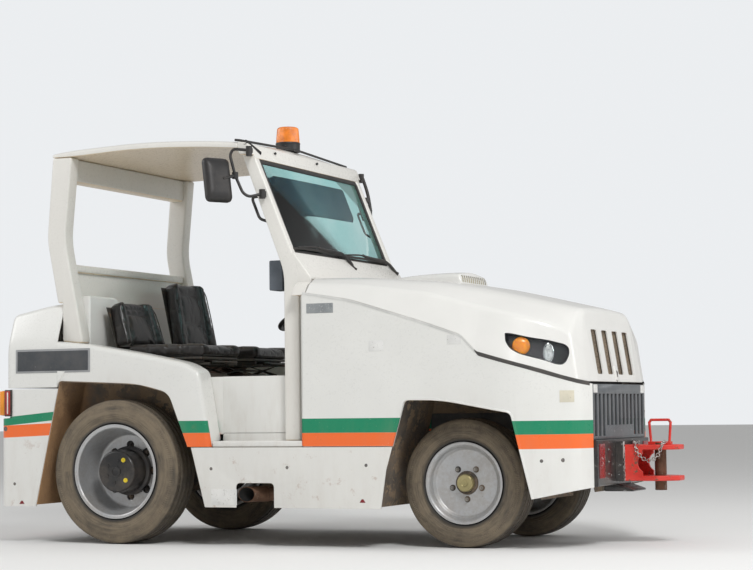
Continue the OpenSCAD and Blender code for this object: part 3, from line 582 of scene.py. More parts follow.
def both_ways(stack, across, along, n=5):
    """Stack of section lines (rows, k, 3) whose corners are rounded in every section and then from section
    to section."""
    fine = rounded(stack, across, n)
    return np.swapaxes(rounded(np.swapaxes(fine, 0, 1), along, n), 0, 1)


THICK = 0.007  # of every white moulding
shell_white = panel_paint("shell_white", [(0.3, 0.66, 0.676, 0.0, 0.066, GREEN),
    (0.3, 0.66, 0.61, 0.0, 0.076, ORANGE)], rust=0.25, muck=0.16)
top = np.array([(-362, 1345), (-460, 1335), (-700, 1285)], float)
half = np.array([[(x, -780, 870), (x, -780, 1112), (x, -780 + 0.385 * (t - 1112), t), (x, -350, t + 1)]
    for x, t in top])
hull = np.concatenate([half, half[:, 3:] * (1, 0, 1), half[:, ::-1] * (1, -1, 1)], 1)
hull = np.concatenate([hull, (hull[-1:] - (0, 0, 870)) * (1, 0.6, 0.6) + (0, 0, 870),
    (hull[-1:] - (0, 0, 870)) * (1, 0.01, 0.01) + (0, 0, 870)])
shell = both_ways(hull, [0, 60, 34, 200, 200, 200, 34, 60, 0], [0, 90, 45, 0, 0], 7)
parts = [walled(mm(shell[::-1]), THICK)]
crest = [(-362, 1128), (-168, 1108), (201, 1045), (454, 993), (541, 945), (612, 535)]
arch = [(-362, 870), (-345, 905), (165, 881), (354, 830), (415, 676), (470, 535)]
fender = np.array([[(a[0], -762, a[1]), (a[0], -780, a[1]), (c[0], -780, c[1]), (c[0], -637, c[1]),
    (a[0], -637, a[1])] for c, a in zip(crest, arch)], float)
fender = both_ways(fender, [0, 5, 34, 14, 0], [0, 26, 110, 50, 28, 0], 7)
parts += [walled(mm(fender, way), -way * THICK) for way in (-1, 1)]
put("rear_shell_moulding", *together(parts), "chassis", shell_white, "body_white", 40, ["rear_shell"],
    outward=True)

# Rear apron: the lower white moulding that wraps the rear corner, with the stripes running
# round its sides and a brown dusty edge where the tyre throws dirt; a hole lets the jaw through.


def capped(rows, columns):
    """Faces of a stack of closed rings with both end rings filled."""
    return [*net(rows, columns, around=True), range(columns), range((rows - 1) * columns, rows * columns)]


def rect(x0, y0, x1, y1):
    """Outline of a rectangle."""
    return [(x0, y0), (x1, y0), (x1, y1), (x0, y1)]


def inset(outline, d):
    """Closed outline (k, 2) moved inwards by d: each corner shifts by d (n1 + n2) / (1 + n1.n2), n1 and n2
    being the inward normals of its two sides; the outline runs anticlockwise."""
    p = np.asarray(outline, float)
    v = np.roll(p, -1, 0) - p
    v /= np.linalg.norm(v, axis=1, keepdims=True) + 1e-12
    after = np.stack([-v[:, 1], v[:, 0]], 1)
    before = np.roll(after, 1, 0)
    return p + d * (before + after) / np.maximum(1 + (before * after).sum(1, keepdims=True), 0.35)


def anticlockwise(outline, radii):
    """Closed outline (k, 2) and its corner radii as arrays, reversed if the outline runs clockwise."""
    p = np.asarray(outline, float)
    r = np.broadcast_to(np.asarray(radii, float), (len(p),))
    x, y = p.T
    back = (x * np.roll(y, -1) - y * np.roll(x, -1)).sum() < 0
    return (p[::-1], r[::-1]) if back else (p, r)


def looped(outline, radii, n=5):
    """Closed outline (k, 2) with every corner rounded."""
    p, r = anticlockwise(outline, radii)
    middle = (p[:1] + p[-1:]) / 2
    line = np.concatenate([middle, p, middle])
    return rounded(line, np.concatenate([[0], r, [0]]), n)[:-1]


def block(outline, corners, a, b, axis=1, edge=0.0, steps=3, n=5):
    """Closed bar between a and b along an axis whose cross-section (k, 2) has rounded corners, and whose
    ends are rounded by quarter circles of radius edge: each ring lies edge (1 - sin t) in from the end and
    its outline edge (1 - cos t) inwards, convex corners losing that much radius and hollow ones gaining it."""
    p, r = anticlockwise(outline, corners)
    v, w = p - np.roll(p, 1, 0), np.roll(p, -1, 0) - p
    bulge = np.sign(v[:, 0] * w[:, 1] - v[:, 1] * w[:, 0])
    rings = []
    for end, way in ((a, 1), (b, -1)):
        turn = np.linspace(0, np.pi / 2, steps + 1) if edge else np.array([np.pi / 2])
        half = [(end + way * edge * (1 - math.sin(t)), edge * (1 - math.cos(t))) for t in turn]
        rings += half[::-1] if way > 0 else half
    order = {0: (2, 0, 1), 1: (0, 2, 1), 2: (0, 1, 2)}[axis]
    points = []
    for at, d in rings:
        line = looped(inset(p, d), np.maximum(r - bulge * d, 1e-4), n) if max(r) else inset(p, d)
        points.append(np.column_stack([line, np.full(len(line), at)])[:, order])
    k, m = len(points[0]), len(rings)
    return np.concatenate(points), capped(m, k)


apron_white = panel_paint("apron_white", [(-0.76, -0.3, 0.7, 0.09, 0.048, GREEN),
    (-0.76, -0.3, 0.656, 0.04, 0.068, ORANGE)], rust=0.3, muck=0.2)
wrap = []
for z, corner, end in ((205, -710, -745), (400, -710, -745), (699, -710, -745), (701, -662, -702),
        (800, -660, -700), (862, -660, -700)):
    edge = -505 + (z - 190) * 160 / 715
    half = [(edge, -765, z), (edge, -780, z), (corner, -780, z), (end, -740, z), (end, -400, z)]
    wrap.append(half + [(x, -y, h) for x, y, h in half[::-1]])
wrap = both_ways(wrap, [0, 4, 26, 26, 0, 0, 26, 26, 4, 0], [0, 0, 7, 7, 0, 0], 6)
apron = put("rear_apron_moulding", *walled(mm(wrap), THICK), "chassis", apron_white, "body_white", 40,
    ["rear_apron"], outward=True)
cut(apron, *block(rect(-0.138, 0.322, 0.138, 0.558), 0, AXLE - 0.76, AXLE - 0.7, 0), "chassis")

# Tail lamps and rear jaw: red moulded lenses with a clear white bar and an amber rim on the
# corners, each on a black foot, and a red welded jaw with its pin.


def solid(name, parts, surface, slot=None, smooth=35, replaces=(), body="chassis", side=-1):
    """A piece from closed (points, faces) parts in millimetres, given for the right side."""
    points, faces = together(parts)
    return put(name, mm(points, side), faces, body, surface, slot, smooth, replaces, outward=True)


edge_black = finish("edge_black", (0.016, 0.016, 0.017), 0.5, dust=0.35, top=1.4)
lens_red = finish("lens_red", (0.34, 0.02, 0.014), 0.16, coat=0.6, dust=0.12, top=1.2, vary=0.2)
lens_clear = finish("lens_clear", (0.72, 0.7, 0.66), 0.12, coat=0.6, dust=0.12, top=1.2)
lens_amber = finish("lens_amber", (0.85, 0.3, 0.02), 0.14, coat=0.6, dust=0.1, top=1.2)
for way, hand in HANDS:
    solid(f"tail_lamp_red_{hand}", [block(rect(-750, 714, -662, 856), 8, -750, -706, 0, 6),
        block(rect(-700, 717, -667, 853), 5, -787, -782, 1, 2)], lens_red, "lamp_red", 40, ["tail_lamps"],
        side=way)
    solid(f"tail_lamp_clear_{hand}", [block(rect(-722, 722, -709, 848), 4, -752, -745, 0, 2),
        block(rect(-687, 724, -679, 846), 3, -789, -785, 1, 1.5)], lens_clear, side=way)
    solid(f"tail_lamp_amber_{hand}", [block(rect(-772, 716, -752, 854), 6, -748, -706, 0, 5)], lens_amber,
        side=way)
    solid(f"tail_lamp_foot_{hand}", [block(rect(-707, 710, -660, 860), 6, -784, -664, 1, 4)], edge_black,
        side=way)
coupling_red = finish("coupling_red", (0.66, 0.028, 0.018), 0.45, coat=0.1, dust=0.15,
                      chip=(0.17, 0.085, 0.05), chips=0.45, chip_scale=20, depth=0.0004, grain=150)
softened("rear_coupling", "rear_jaw", coupling_red, 0.004)

# Cab floor and steps: white painted plate between the sills, bolted to the frame and scuffed grey
# where boots tread, with the sheet box that carries the seats standing on it.
floor_white = panel_paint("floor_white", rust=0.3, muck=0.3, gloss=0.42, low=0.5)
softened("cab_floor", "cab_floor_plate", floor_white, 0.008, steps=3)
solid("cab_floor_wing", [block([(470, 608.5), (625, 608.5), (625, 914), (456, 914)], 3, y - 2, y + 2, 1, 1)
    for y in (-632.5, 632.5)], floor_white)
corner = [(-630, 914), (-302, 914), (-302, 1335), (-310, 1362), (-326, 1379), (-350, 1387), (-630, 1387)]
solid("seat_platform_box", [block(rect(-355.7, 908, 455, 915), 1, -629.7, 629.7, 1, 0.8),
    block(rect(448, -629.7, 455, 629.7), 2, 608.3, 914, 2, 0),
    block(rect(-355.7, -629.7, -349, 629.7), 1, 914, 1354, 2, 0),
    block(corner, [2, 2, 30, 20, 20, 30, 2], -355.7, -235, 0, 12, 4, 6)], floor_white, "cab_white", 40,
    ["seat_platform"])

# Seats: foam cushions covered in glossy black artificial leather with side bolsters and sewn cross
# seams, on black steel pans over a bellows and scissor suspension bolted to the platform.


def tube(path, radius, bend=20.0, n=12, steps=5):
    """Round bar along a line of points with rounded corners, as (points, faces): a ring of n points at each
    place, square to the mean of the two directions there and turned as little as possible from the last."""
    line = rounded(np.asarray(path, float), bend, steps)
    ahead = np.gradient(line, axis=0)
    ahead /= np.linalg.norm(ahead, axis=1, keepdims=True)
    u = np.cross(ahead[0], (0, 0, 1) if abs(ahead[0][2]) < 0.9 else (1, 0, 0))
    a = np.linspace(0, 2 * np.pi, n, endpoint=False)[:, None]
    rings = []
    for spot, d in zip(line, ahead):
        u = u - d * (u @ d)
        u /= np.linalg.norm(u)
        rings.append(spot + radius * (np.cos(a) * u + np.sin(a) * np.cross(d, u)))
    return np.concatenate(rings), capped(len(rings), n)


def pillow(name, points, faces, seam, flat, cap, replaced):
    """Cushion blown up by cloth simulation: the closed shape is remeshed to even quads, its points that
    flat(points) or a seam nearer than 5 mm holds are sewn down, and it swells under pressure with gravity
    off. Each point's movement d is limited to cap * tanh(d / cap); then the seam is pulled in by
    4.5 mm * exp(-(distance / 6 mm) ** 2)."""
    piece = put(name, mm(points), faces, "chassis", leather, "seat_black", 60, [replaced], outward=True)
    even = piece.modifiers.new("even", "REMESH")
    even.mode, even.voxel_size = "VOXEL", 0.0075
    mesh = applied(piece)
    piece.modifiers.clear()
    piece.data = mesh
    before = np.empty(len(mesh.vertices) * 3)
    mesh.vertices.foreach_get("co", before)
    before = before.reshape(-1, 3)
    sewn = piece.vertex_groups.new(name="sewn")
    spots = before * 1000 - (AXLE * 1000, 0, 0)
    distance = seam(spots)
    sewn.add(np.flatnonzero((distance < 5) | flat(spots)).tolist(), 1.0, "REPLACE")
    cloth = piece.modifiers.new("cloth", "CLOTH")
    rules = cloth.settings
    rules.use_pressure, rules.uniform_pressure_force, rules.vertex_group_mass = True, 4.0, "sewn"
    rules.effector_weights.gravity, rules.shrink_min, rules.bending_stiffness = 0, -0.012, 3.0
    for frame_number in range(1, 21):
        bpy.context.scene.frame_set(frame_number)
    blown = piece.evaluated_get(bpy.context.evaluated_depsgraph_get()).to_mesh()
    after = np.empty_like(before).ravel()
    blown.vertices.foreach_get("co", after)
    move = after.reshape(-1, 3) - before
    far = np.linalg.norm(move, axis=1, keepdims=True) + 1e-9
    piece.modifiers.clear()
    normals = np.empty_like(after)
    blown.vertices.foreach_get("normal", normals)
    pull = 0.0045 * np.exp(-(np.minimum(distance, 60) / 6) ** 2)[:, None]
    moved = before + move / far * cap * np.tanh(far / cap) - pull * normals.reshape(-1, 3)
    mesh.vertices.foreach_set("co", moved.ravel())
    mesh.shade_smooth()
    if not mesh.materials:
        mesh.materials.append(leather)
    bpy.context.scene.frame_set(1)
    fine = piece.modifiers.new("fine", "SUBSURF")
    fine.levels = fine.render_levels = 1


leather = finish("leather", (0.01, 0.01, 0.011), 0.36, coat=0.12, dust=0.12, top=1.9, vary=0.15,
    chip=(0.035, 0.033, 0.03), chips=0.1, grain=420)
mount_black = finish("mount_black", (0.03, 0.032, 0.03), 0.45, dust=0.5, top=1.8, chip=(0.16, 0.09, 0.05),
    chips=0.4, depth=0.0005)
bellows_brown = finish("bellows_brown", (0.14, 0.085, 0.07), 0.7, dust=0.5, top=1.8, depth=0.0006)
piping = []
for hand, middle, tall, tilt, seams in (("right", -320, 262, 17, (188, 220)),
        ("left", 320, 400, 12, (150, 330))):
    cushion = [(-222, 1034), (222, 1034), (226, 1092), (205, 1103), (165, 1103), (130, 1088), (-130, 1088),
        (-165, 1103), (-205, 1103), (-226, 1092)]
    corners = [14, 14, 14, 12, 18, 30, 30, 18, 12, 14]
    points, faces = block(np.add(cushion, (middle, 0)), corners, -40, 446, 0, 26, 5, 4)

    def sewn_top(p):
        """Distance to the nearest seam of points on the cushion's top, and 99 for all others."""
        x, y, z = p.T
        return np.where(z > 1068, np.minimum(abs(abs(y - middle) - 138), abs(x - 290)), 99)

    pillow(f"seat_cushion_{hand}", points, faces, sewn_top, lambda p: p[:, 2] < 1042, 0.018, "seat_cushions")
    section = [(-42, -212), (34, -212), (44, -180), (14, -128), (14, 128), (44, 180), (34, 212), (-42, 212)]
    points, faces = block(section, [18, 18, 18, 30, 30, 18, 18, 18], 4, tall, 2, 22, 5, 4)
    rise = np.clip((points[:, 2] - tall + 110) / 110, 0, 1)
    points[:, 1] *= 1 - 0.3 * rise ** 3
    lean = math.radians(tilt)
    lean_back = np.array([(math.cos(lean), 0, math.sin(lean)), (0, 1, 0), (-math.sin(lean), 0, math.cos(lean))])
    base = np.array([-75, middle, 1101])

    def sewn_back(p):
        """Distance to the nearest seam of points on the front of the back, and 99 for all others."""
        x, y, z = ((p - base) @ lean_back.T).T
        across = np.where(abs(y) < 132, np.min([abs(z - h) for h in seams], 0), 99)
        return np.where(x > 2, np.minimum(abs(abs(y) - 132), across), 99)

    pillow(f"seat_back_{hand}", points @ lean_back + base, faces, sewn_back,
           lambda p: ((p - base) @ lean_back.T)[:, 0] < -38, 0.018, "seat_backs")
    for s in (-1, 1):
        path = np.array([(30, s * 208, 10), (30, s * 207, tall * 0.5), (29, s * 200, tall - 56),
                         (24, s * 162, tall - 12), (14, s * 140, tall - 4)], float)
        piping.append(tube(path @ lean_back + base, 3.4, 60, 8))
    shell = [(-52, -196), (-46, -208), (-46, 208), (-52, 196)]
    points, faces = block(shell, 2, 0, tall - 14, 2, 1, 1)
    parts = [(points @ lean_back + base, faces),
             block(rect(middle - 214, 1018, middle + 214, 1033), 6, -30, 430, 0, 5),
             block(rect(middle - 178, 915.5, middle + 178, 930), 4, 4, 386, 0, 3)]
    parts += [block(rect(y - 14, 1000, y + 14, 1017), 4, -20, 410, 0, 3) for y in (middle - 160, middle + 160)]
    parts += [block(rect(y - 11, 988, y + 11, 999), 3, 10, 450, 0, 3) for y in (middle - 160, middle + 160)]
    parts += [rod((x0, y, 936), (x1, y, 992), 9, 16, 2)
        for y in (middle - 168, middle + 168) for x0, x1 in ((200, 378), (378, 200))]
    parts += [rod((x, middle - 172, z), (x, middle + 172, z), 8, 16, 2)
        for x, z in ((200, 936), (378, 936), (200, 992), (378, 992), (289, 964))]
    parts += [tube([(446, middle - 120, 1006), (476, middle - 118, 1002), (480, middle + 118, 1002),
        (446, middle + 120, 1006)], 6, 24, 8)]
    parts += [rod((230, middle - 176, 1004), (230, middle - 200, 1004), 13, 20, 3)]
    solid(f"seat_suspension_{hand}", parts, mount_black, "mount_black", 40, ["seat_mounts"])
    # the folds of the bellows lie 9 mm and 3 mm inside its outline by turns
    outline = rect(4, middle - 172, 188, middle + 172)
    folds = []
    for k in range(9):
        line = looped(inset(outline, 6 + 3 * math.cos(k * math.pi)), 12, 4)
        folds.append(np.column_stack([line, np.full(len(line), 932 + k * 7.5)]))
    put(f"seat_bellows_{hand}", mm(folds), net(len(folds), len(folds[0]), around=True), "chassis",
        bellows_brown, None, 70, outward=True)

# Piping: a thin roll of black artificial leather round the front edge of each back, sewn into the
# seams of its cover.
solid("seat_piping", piping, leather, None, 60)

# Rear cab frame and roof: folded white sheet pillars with rounded corners, a rear wall with a
# rolled rail, a header box and a moulded roof in a slightly warmer white, with a strong painted warm shade on
# the faces that look downwards.
# strong painted warm shade on the undersides of the cab frame and roof
cab_white = panel_paint("cab_white", rust=0.15, muck=0.2, low=0.9, tint=(0.78, 0.765, 0.72), underside_shade=0.95)
post = [(-361.7, 1128.3), (-361.7, 1345.3), (-392, 1345.3), (-463, 1706), (-425, 2171), (-300, 2171),
    (-345, 1700), (-225, 1114.2)]
bends = [14, 2, 14, 60, 14, 14, 70, 30]
parts = [block(post, bends, -720, -631, 1, 12, 4), block(post, bends, 631, 720, 1, 12, 4),
         block(rect(-424, 2040, -335, 2171), [20, 20, 8, 8], -631, 631, 1),
         block(rect(-394, 1356, -357, 1568), 6, -631, 631, 1),
         block(rect(-396, 1524, -338, 1570), 16, -631, 631, 1)]
solid("rear_pillars", parts, cab_white, "cab_white", 35, ["cab_rear_frame"])
stations = [(-425, 2173, 2196, 2200), (-290, 2173, 2209, 2232), (70, 2190, 2224, 2252), (300, 2188, 2222, 2250),
    (560, 2174, 2208, 2236), (759.5, 2156.5, 2190, 2217)]
sheet = np.array([[(x, -688, u), (x, -722, u), (x, -722, e - 8), (x, -690, e + 4), (x, 0, m)]
    for x, u, e, m in stations], float)
sheet = np.concatenate([sheet, sheet[:, 3::-1] * (1, -1, 1)], 1)
nose, tail = sheet[-1:] * (1, 0.992, 1), sheet[:1] * (1, 0.992, 1)
nose[..., 2] = 2175 + (nose[..., 2] - 2175) * 0.75
tail[..., 2] = 2183 + (tail[..., 2] - 2183) * 0.6
sheet[-1, :, 0] -= 6
sheet[0, :, 0] += 6
sheet = both_ways(np.concatenate([tail, sheet, nose]), [0, 5, 12, 34, 300, 34, 12, 5, 0],
    [0, 4, 160, 300, 200, 200, 4, 0], 6)
put("roof_moulding", mm(sheet), capped(*sheet.shape[:2]), "chassis", cab_white, "body_white", 32,
    ["roof"], outward=True)

# Windscreen frame: folded white posts from the sills to the header, with the pane set in a black
# rubber section, a sun visor behind it, and grab handles on the posts.


def pane(u, v, w):
    """Point of the sloping windscreen: u across, v up the glass and w out of it, in millimetres."""
    u, v, w = np.broadcast_arrays(np.asarray(u, float), v, w)
    return np.stack([1050 - 0.369 * v + 0.929 * w, u, 1572 + 0.929 * v + 0.369 * w], -1)


post = [(1020, 566), (1020, 1470), (770, 2130), (840, 2130), (1108, 1480), (1108, 566)]
parts = [block(post, [8, 60, 8, 8, 60, 8], a, b, 1, 7) for a, b in ((-690, -640), (640, 690))]
cowl = [(-774, 1340), (-735, 1391), (-656, 1428), (0, 1440), (656, 1428), (735, 1391), (774, 1340),
    (774, 1338), (-774, 1338)]
parts.append(block(cowl, [2, 20, 60, 200, 60, 20, 2, 1, 1], 1104, 1181, 0, 1))
gusset = [(1100, 1385), (1181, 1385), (1181, 1431), (1100, 1500)]
parts += [block(gusset, 4, y - 7, y + 7, 1, 2) for y in (-683, 683)]
header = [(775, 2120), (760.5, 2140), (760.5, 2192), (822, 2182), (848, 2116)]
parts.append(block(header, [6, 8, 10, 16, 8], -721, 721, 1, 6))
top_rail = [(790, 2112), (775, 2124), (840, 2130), (855, 2100), (832, 2092)]
parts.append(block(top_rail, 3, -689, 689, 1, 2))
foot_rail = [(1060, 1500), (1036, 1560), (1072, 1582), (1180, 1440), (1180, 1425), (1165, 1430)]
parts.append(block(foot_rail, [8, 12, 14, 6, 4, 8], -689, 689, 1, 8))
parts.append(block([(1060, 650), (1060, 1520), (1068, 1520), (1068, 650)], 1, -689, 689, 1))
solid("windscreen_posts", parts, cab_white, "cab_white", 35, ["windscreen_frame"])
tinted, skin, place = material("tinted_glass")
feed(skin, {"Transmission Weight": 1.0, "IOR": 1.3,
    "Roughness": step(cloud(place, 9, 6.0, 0.7), 0.45, 0.8, (0.02, 0.14)),
    "Base Color": blended(step(cloud(place, 3.0), 0.35, 0.7), (0.36, 0.66, 0.64), (0.47, 0.72, 0.7))})
softened("windscreen_glass", "windscreen_pane", tinted, 0.001)
trim_black = finish("trim_black", (0.018, 0.018, 0.019), 0.45, dust=0.2, top=2.6, chip=(0.09, 0.085, 0.08),
    chips=0.2, grain=260, depth=0.0004)
outer = looped(rect(-645, -5, 645, 566), 34, 7)
frame_rows = [pane(*inset(outer, d).T, w) for d, w in ((0, 0.6), (0, 6), (4, 9), (22, 9), (26, 6), (27, 0.6))]
frame_rows = np.array([np.concatenate([r, r[:1]]) for r in frame_rows])
put("windscreen_rubber", *walled(mm(frame_rows), 0.001), "chassis", trim_black, None, 40, outward=True)
visor_blue = finish("visor_blue", (0.002, 0.05, 0.115), 0.3, coat=0.3, dust=0.1, top=3)
sheet = looped([(-420, 300), (-400, 285), (420, 285), (450, 310), (450, 500), (-420, 500)],
    [30, 10, 10, 40, 20, 20], 6)
rings = [pane(*inset(sheet, d).T, w) for d, w in ((4, -24), (0, -28), (4, -32))]
put("sun_visor", mm(rings), capped(3, len(sheet)), "chassis", visor_blue, outward=True)
handles = [tube([(872, s * 662, 1892), (812, s * 655, 1888), (860, s * 655, 1768), (918, s * 662, 1750)], 8, 22)
           for s in (-1, 1)]
solid("grab_handles", handles, trim_black)

# Wipers: two black painted steel arms with rubber blades, parked along the pane's lower edge and
# held by short spindles at its foot.
parts = []
for y0, z0, left, right, v in ((39, 1512, -650, -20, 22), (645, 1522, -70, 610, 16)):
    spindle = np.array([1100, y0, z0])
    mid = pane((left + right) / 2, v + 26, 26)
    parts += [rod(spindle - (14, 0, 26), spindle + (14, 0, 22), 17, 20, 13),
        tube([spindle + (10, 0, 14), pane(y0 - 90, v + 2, 40), mid + (0, 60, -8), mid], 8, 30, 8),
        tube([spindle + (2, 60, 2), pane(y0 - 40, v - 6, 38), mid + (0, 90, -20), mid + (0, 10, -4)], 4, 30, 8),
        tube([pane(left, v, 15), pane(left + 80, v + 6, 18), pane((left + right) / 2, v + 9, 19),
        pane(right - 80, v + 2, 18), pane(right, v - 8, 15)], 7, 60, 8),
        tube([pane(left + 60, v + 10, 22), mid + (2, 0, 4), pane(right - 60, v + 4, 22)], 5, 200, 8)]
solid("wipers", parts, trim_black, None, 50)

# Mirrors: black plastic heads with a glass each, on bent steel tube arms that are clamped to the
# header and the post.
arm = [(842, -745, 2136), (763, -776, 2144), (745, -780, 2112), (776, -778, 1998), (820, -775, 1901),
    (850, -762, 1880), (906, -716, 1897)]
swing_z, lean_x = math.radians(60), math.radians(-10)
turn_z = np.array([(math.cos(swing_z), -math.sin(swing_z), 0), (math.sin(swing_z), math.cos(swing_z), 0),
    (0, 0, 1)])
turn_x = np.array([(1, 0, 0), (0, math.cos(lean_x), -math.sin(lean_x)),
    (0, math.sin(lean_x), math.cos(lean_x))])
oval = looped(rect(-80, -123, 80, 123), 30, 7)


def head_rings(*rows):
    """Rings of the head's outline, each at a depth and a scale, turned into place."""
    rings = [np.column_stack([oval[:, 0] * s, np.full(len(oval), float(y)), oval[:, 1] * s]) for y, s in rows]
    return np.array(rings) @ turn_x.T @ turn_z.T + (716, -862, 1971)


head = head_rings((16, 0.93), (22, 0.94), (24, 0.965), (22, 0.99), (8, 1.0), (-6, 0.95), (-18, 0.8),
    (-25, 0.62), (-26, 0.3))
face = head_rings((17, 0.935), (17, 0.5), (17, 0.02))
mirror_glass = finish("mirror_glass", (0.55, 0.57, 0.58), 0.05, metal=1.0, dust=0.06, top=3, vary=0.05,
    depth=0.00002)
for way, hand in HANDS:
    k = len(oval)
    back = [*net(len(head), k, around=True), range((len(head) - 1) * k, len(head) * k)]
    parts = [tube(arm, 8, 26, 12), (head, back), rod((842, -742, 2104), (842, -742, 2158), 17, 24),
        block(rect(824, 2122, 856, 2150), 5, -736, -721.3, 1, 2),
        rod((906, -714, 1872), (906, -714, 1922), 17, 24),
        block(rect(890, 1880, 920, 1914), 5, -708, -690.3, 1, 2),
        rod((776, -778, 1980), (776, -778, 2016), 17, 20), rod((776, -778, 1998), (742, -858, 1975), 9, 16)]
    solid(f"mirror_set_{hand}", parts, trim_black, "mirror_black", 40, ["mirrors"], side=way)
    put(f"mirror_glass_{hand}", mm(face, way), net(3, k, around=True, flip=way > 0), "chassis",
        mirror_glass)

# Roof seal and conduit: a black rubber seal glued along the roof's front edge, and a short ribbed
# plastic conduit clipped beside the mirror clamp.
ridges = np.arange(12)
lengthwise = np.stack([806 + ridges * 2.6, -716 + ridges * 9.5, 2186 - ridges * 4.6], 1)
parts = [tube([(748, -724, 2200), (764, -700, 2200), (766, 0, 2225), (764, 690, 2200)], 7, 30, 8)]
parts += [rod(p, p + (0, 5, -2.4), 15, 16) for p in lengthwise] + [rod(lengthwise[0], lengthwise[-1], 12, 16)]
parts += [rod((836, y, 2152), (845, y, 2156), 7, 12) for y in (-420, 120)]
parts += [tube([(852, 742, 2130), (880, 752, 2040), (905, 738, 1925)], 10, 60, 10),
    rod((872, 748, 2010), (880, 748, 1980), 19, 16)]
solid("roof_seal_and_conduit", parts, trim_black, None, 40)

# Dashboard and steering wheel: grained dark grey moulding screwed across the cab, with a slate
# console box on it, and a black plastic wheel on its column.
dash_grey = finish("dash_grey", (0.06, 0.06, 0.065), 0.6, top=1.8, depth=0.0005, grain=300)
deep = [(1059, 1100), (1059, 1440), (990, 1440), (900, 1360), (900, 1180), (960, 1100)]
shallow = [(1059, 1100), (1059, 1440), (1002, 1440), (1002, 1100)]
solid("dashboard_cowl", [block(deep, [2, 8, 24, 30, 30, 20], -60, 610, 1, 10),
    block(shallow, [2, 8, 20, 20], -610, -59, 1, 8),
    block(rect(950, 1400, 1010, 1430), 4, -570, -490, 1, 2)], dash_grey, "dash_grey", 40, ["dashboard"])
console_slate = finish("console_slate", (0.1, 0.12, 0.145), 0.5, dust=0.15, top=2.2, vary=0.15,
    chip=(0.2, 0.2, 0.2), chips=0.2)
solid("console_box", [block(rect(880, 1380, 962, 1544), 8, -589, -471, 1, 6)], console_slate)
softened("steering_wheel", "steering_wheel_rim", trim_black, 0.004)

# Front side panels: white mouldings from the cab to the grille, curved in at the nose, with a
# rolled lip round the wheel arch; screwed to the frame brackets. Skirts below them are steel.


def filled(line, most):
    """Line (k, d) with further points so that no step is longer than most."""
    line = np.asarray(line, float)
    gone = np.concatenate([[0], np.cumsum(np.linalg.norm(np.diff(line, axis=0), axis=1))])
    more = [np.linspace(a, b, max(2, int(math.ceil((b - a) / most)) + 1))[:-1]
        for a, b in zip(gone[:-1], gone[1:])]
    at = np.concatenate(more + [gone[-1:]])
    return np.stack([np.interp(at, gone, line[:, i]) for i in range(line.shape[1])], 1)


front_white = panel_paint("front_white", [(1.1, 1.75, 0.682, 0.0, 0.076, GREEN),
    (1.1, 1.75, 0.606, 0.0, 0.07, ORANGE), (2.2, 2.7, 0.66, 0.0, 0.07, GREEN),
    (2.2, 2.7, 0.59, 0.0, 0.073, ORANGE)], rust=0.2, muck=0.13)
seam = rounded([(1172, 1355), (1451, 1307), (1859, 1180), (2069, 1107), (2155, 1018), (2401, 946), (2663, 859),
    (2760, 827)], [0, 60, 60, 22, 10, 60, 60, 0], 6)
plan = filled(rounded([(1170, -780), (2300, -780), (2480, -702), (2635, -600), (2675, -475)],
    [0, 120, 90, 60, 0], 7), 11)
arch = looped([(1612, 190), (1646, 412), (1752, 773), (1953, 771), (2328, 701), (2423, 263), (2440, 190)],
    [0, 60, 24, 90, 24, 60, 0], 6)
panel_top = np.interp(plan[:, 0], seam[:, 0], seam[:, 1]) - np.interp(plan[:, 0], [2040, 2075, 2150, 2165],
    [9.3, 13, 13, 9.4])
panel_foot = np.interp(plan[:, 0], [1170, 1990, 2010, 2423, 2690], [535, 535, 263, 263, 318])
share = np.concatenate([[0, 0.002], np.linspace(0.01, 0.99, 22), [0.998, 1]])[:, None]
heights = panel_foot + share * (panel_top - panel_foot)
sheet = np.stack([np.broadcast_to(plan[:, 0], heights.shape), np.broadcast_to(plan[:, 1], heights.shape),
    heights], -1)
edge = filled(rounded([(2423, 264), (2328, 701), (1953, 771), (1752, 773), (1682, 535)], [0, 24, 90, 24, 0], 6),
    25)
along = np.gradient(edge, axis=0)
along /= np.linalg.norm(along, axis=1, keepdims=True)
lip = []
for out, deep in ((9, -0.5), (8, 1.4), (1.5, 2.0), (0.2, 0.8), (0.2, -16.0)):
    line = edge + out * along[:, ::-1] * (1, -1)
    lip.append(np.column_stack([line[:, 0], np.interp(line[:, 0], plan[:, 0], plan[:, 1]) - deep, line[:, 1]]))
# a grey lip closes the joint under the bonnet as far as the dark seal that leads to the grille
joint = filled(seam[seam[:, 0] < 2150], 30)
joint = np.stack([np.column_stack([joint[:, 0], np.interp(joint[:, 0], plan[:, 0], plan[:, 1]) + 2,
    joint[:, 1] - d]) for d in (1.0, 14)])
strip = np.linspace(2144, 2668, 80)
crown = np.interp(strip, seam[:, 0], seam[:, 1]) - 0.8
foot = np.maximum(crown - 20, 1021 - (strip - 2144) * 1.25)
strip = np.stack([np.column_stack([strip, np.interp(strip, plan[:, 0], plan[:, 1]) - d, z])
    for d, z in ((-5, crown), (1.2, crown), (2.0, crown - 2), (2.0, np.minimum(foot + 2, crown - 2)),
    (1.2, np.minimum(foot, crown - 2.5)), (-5, np.minimum(foot, crown - 2.5)))])
joint_grey = finish("joint_grey", (0.62, 0.62, 0.6), 0.5, dust=0.15, top=1.6)
seal_black = finish("seal_black", (0.04, 0.041, 0.042), 0.55, dust=0.25, top=1.6)
points, faces = block(arch, 0, -800, -640)
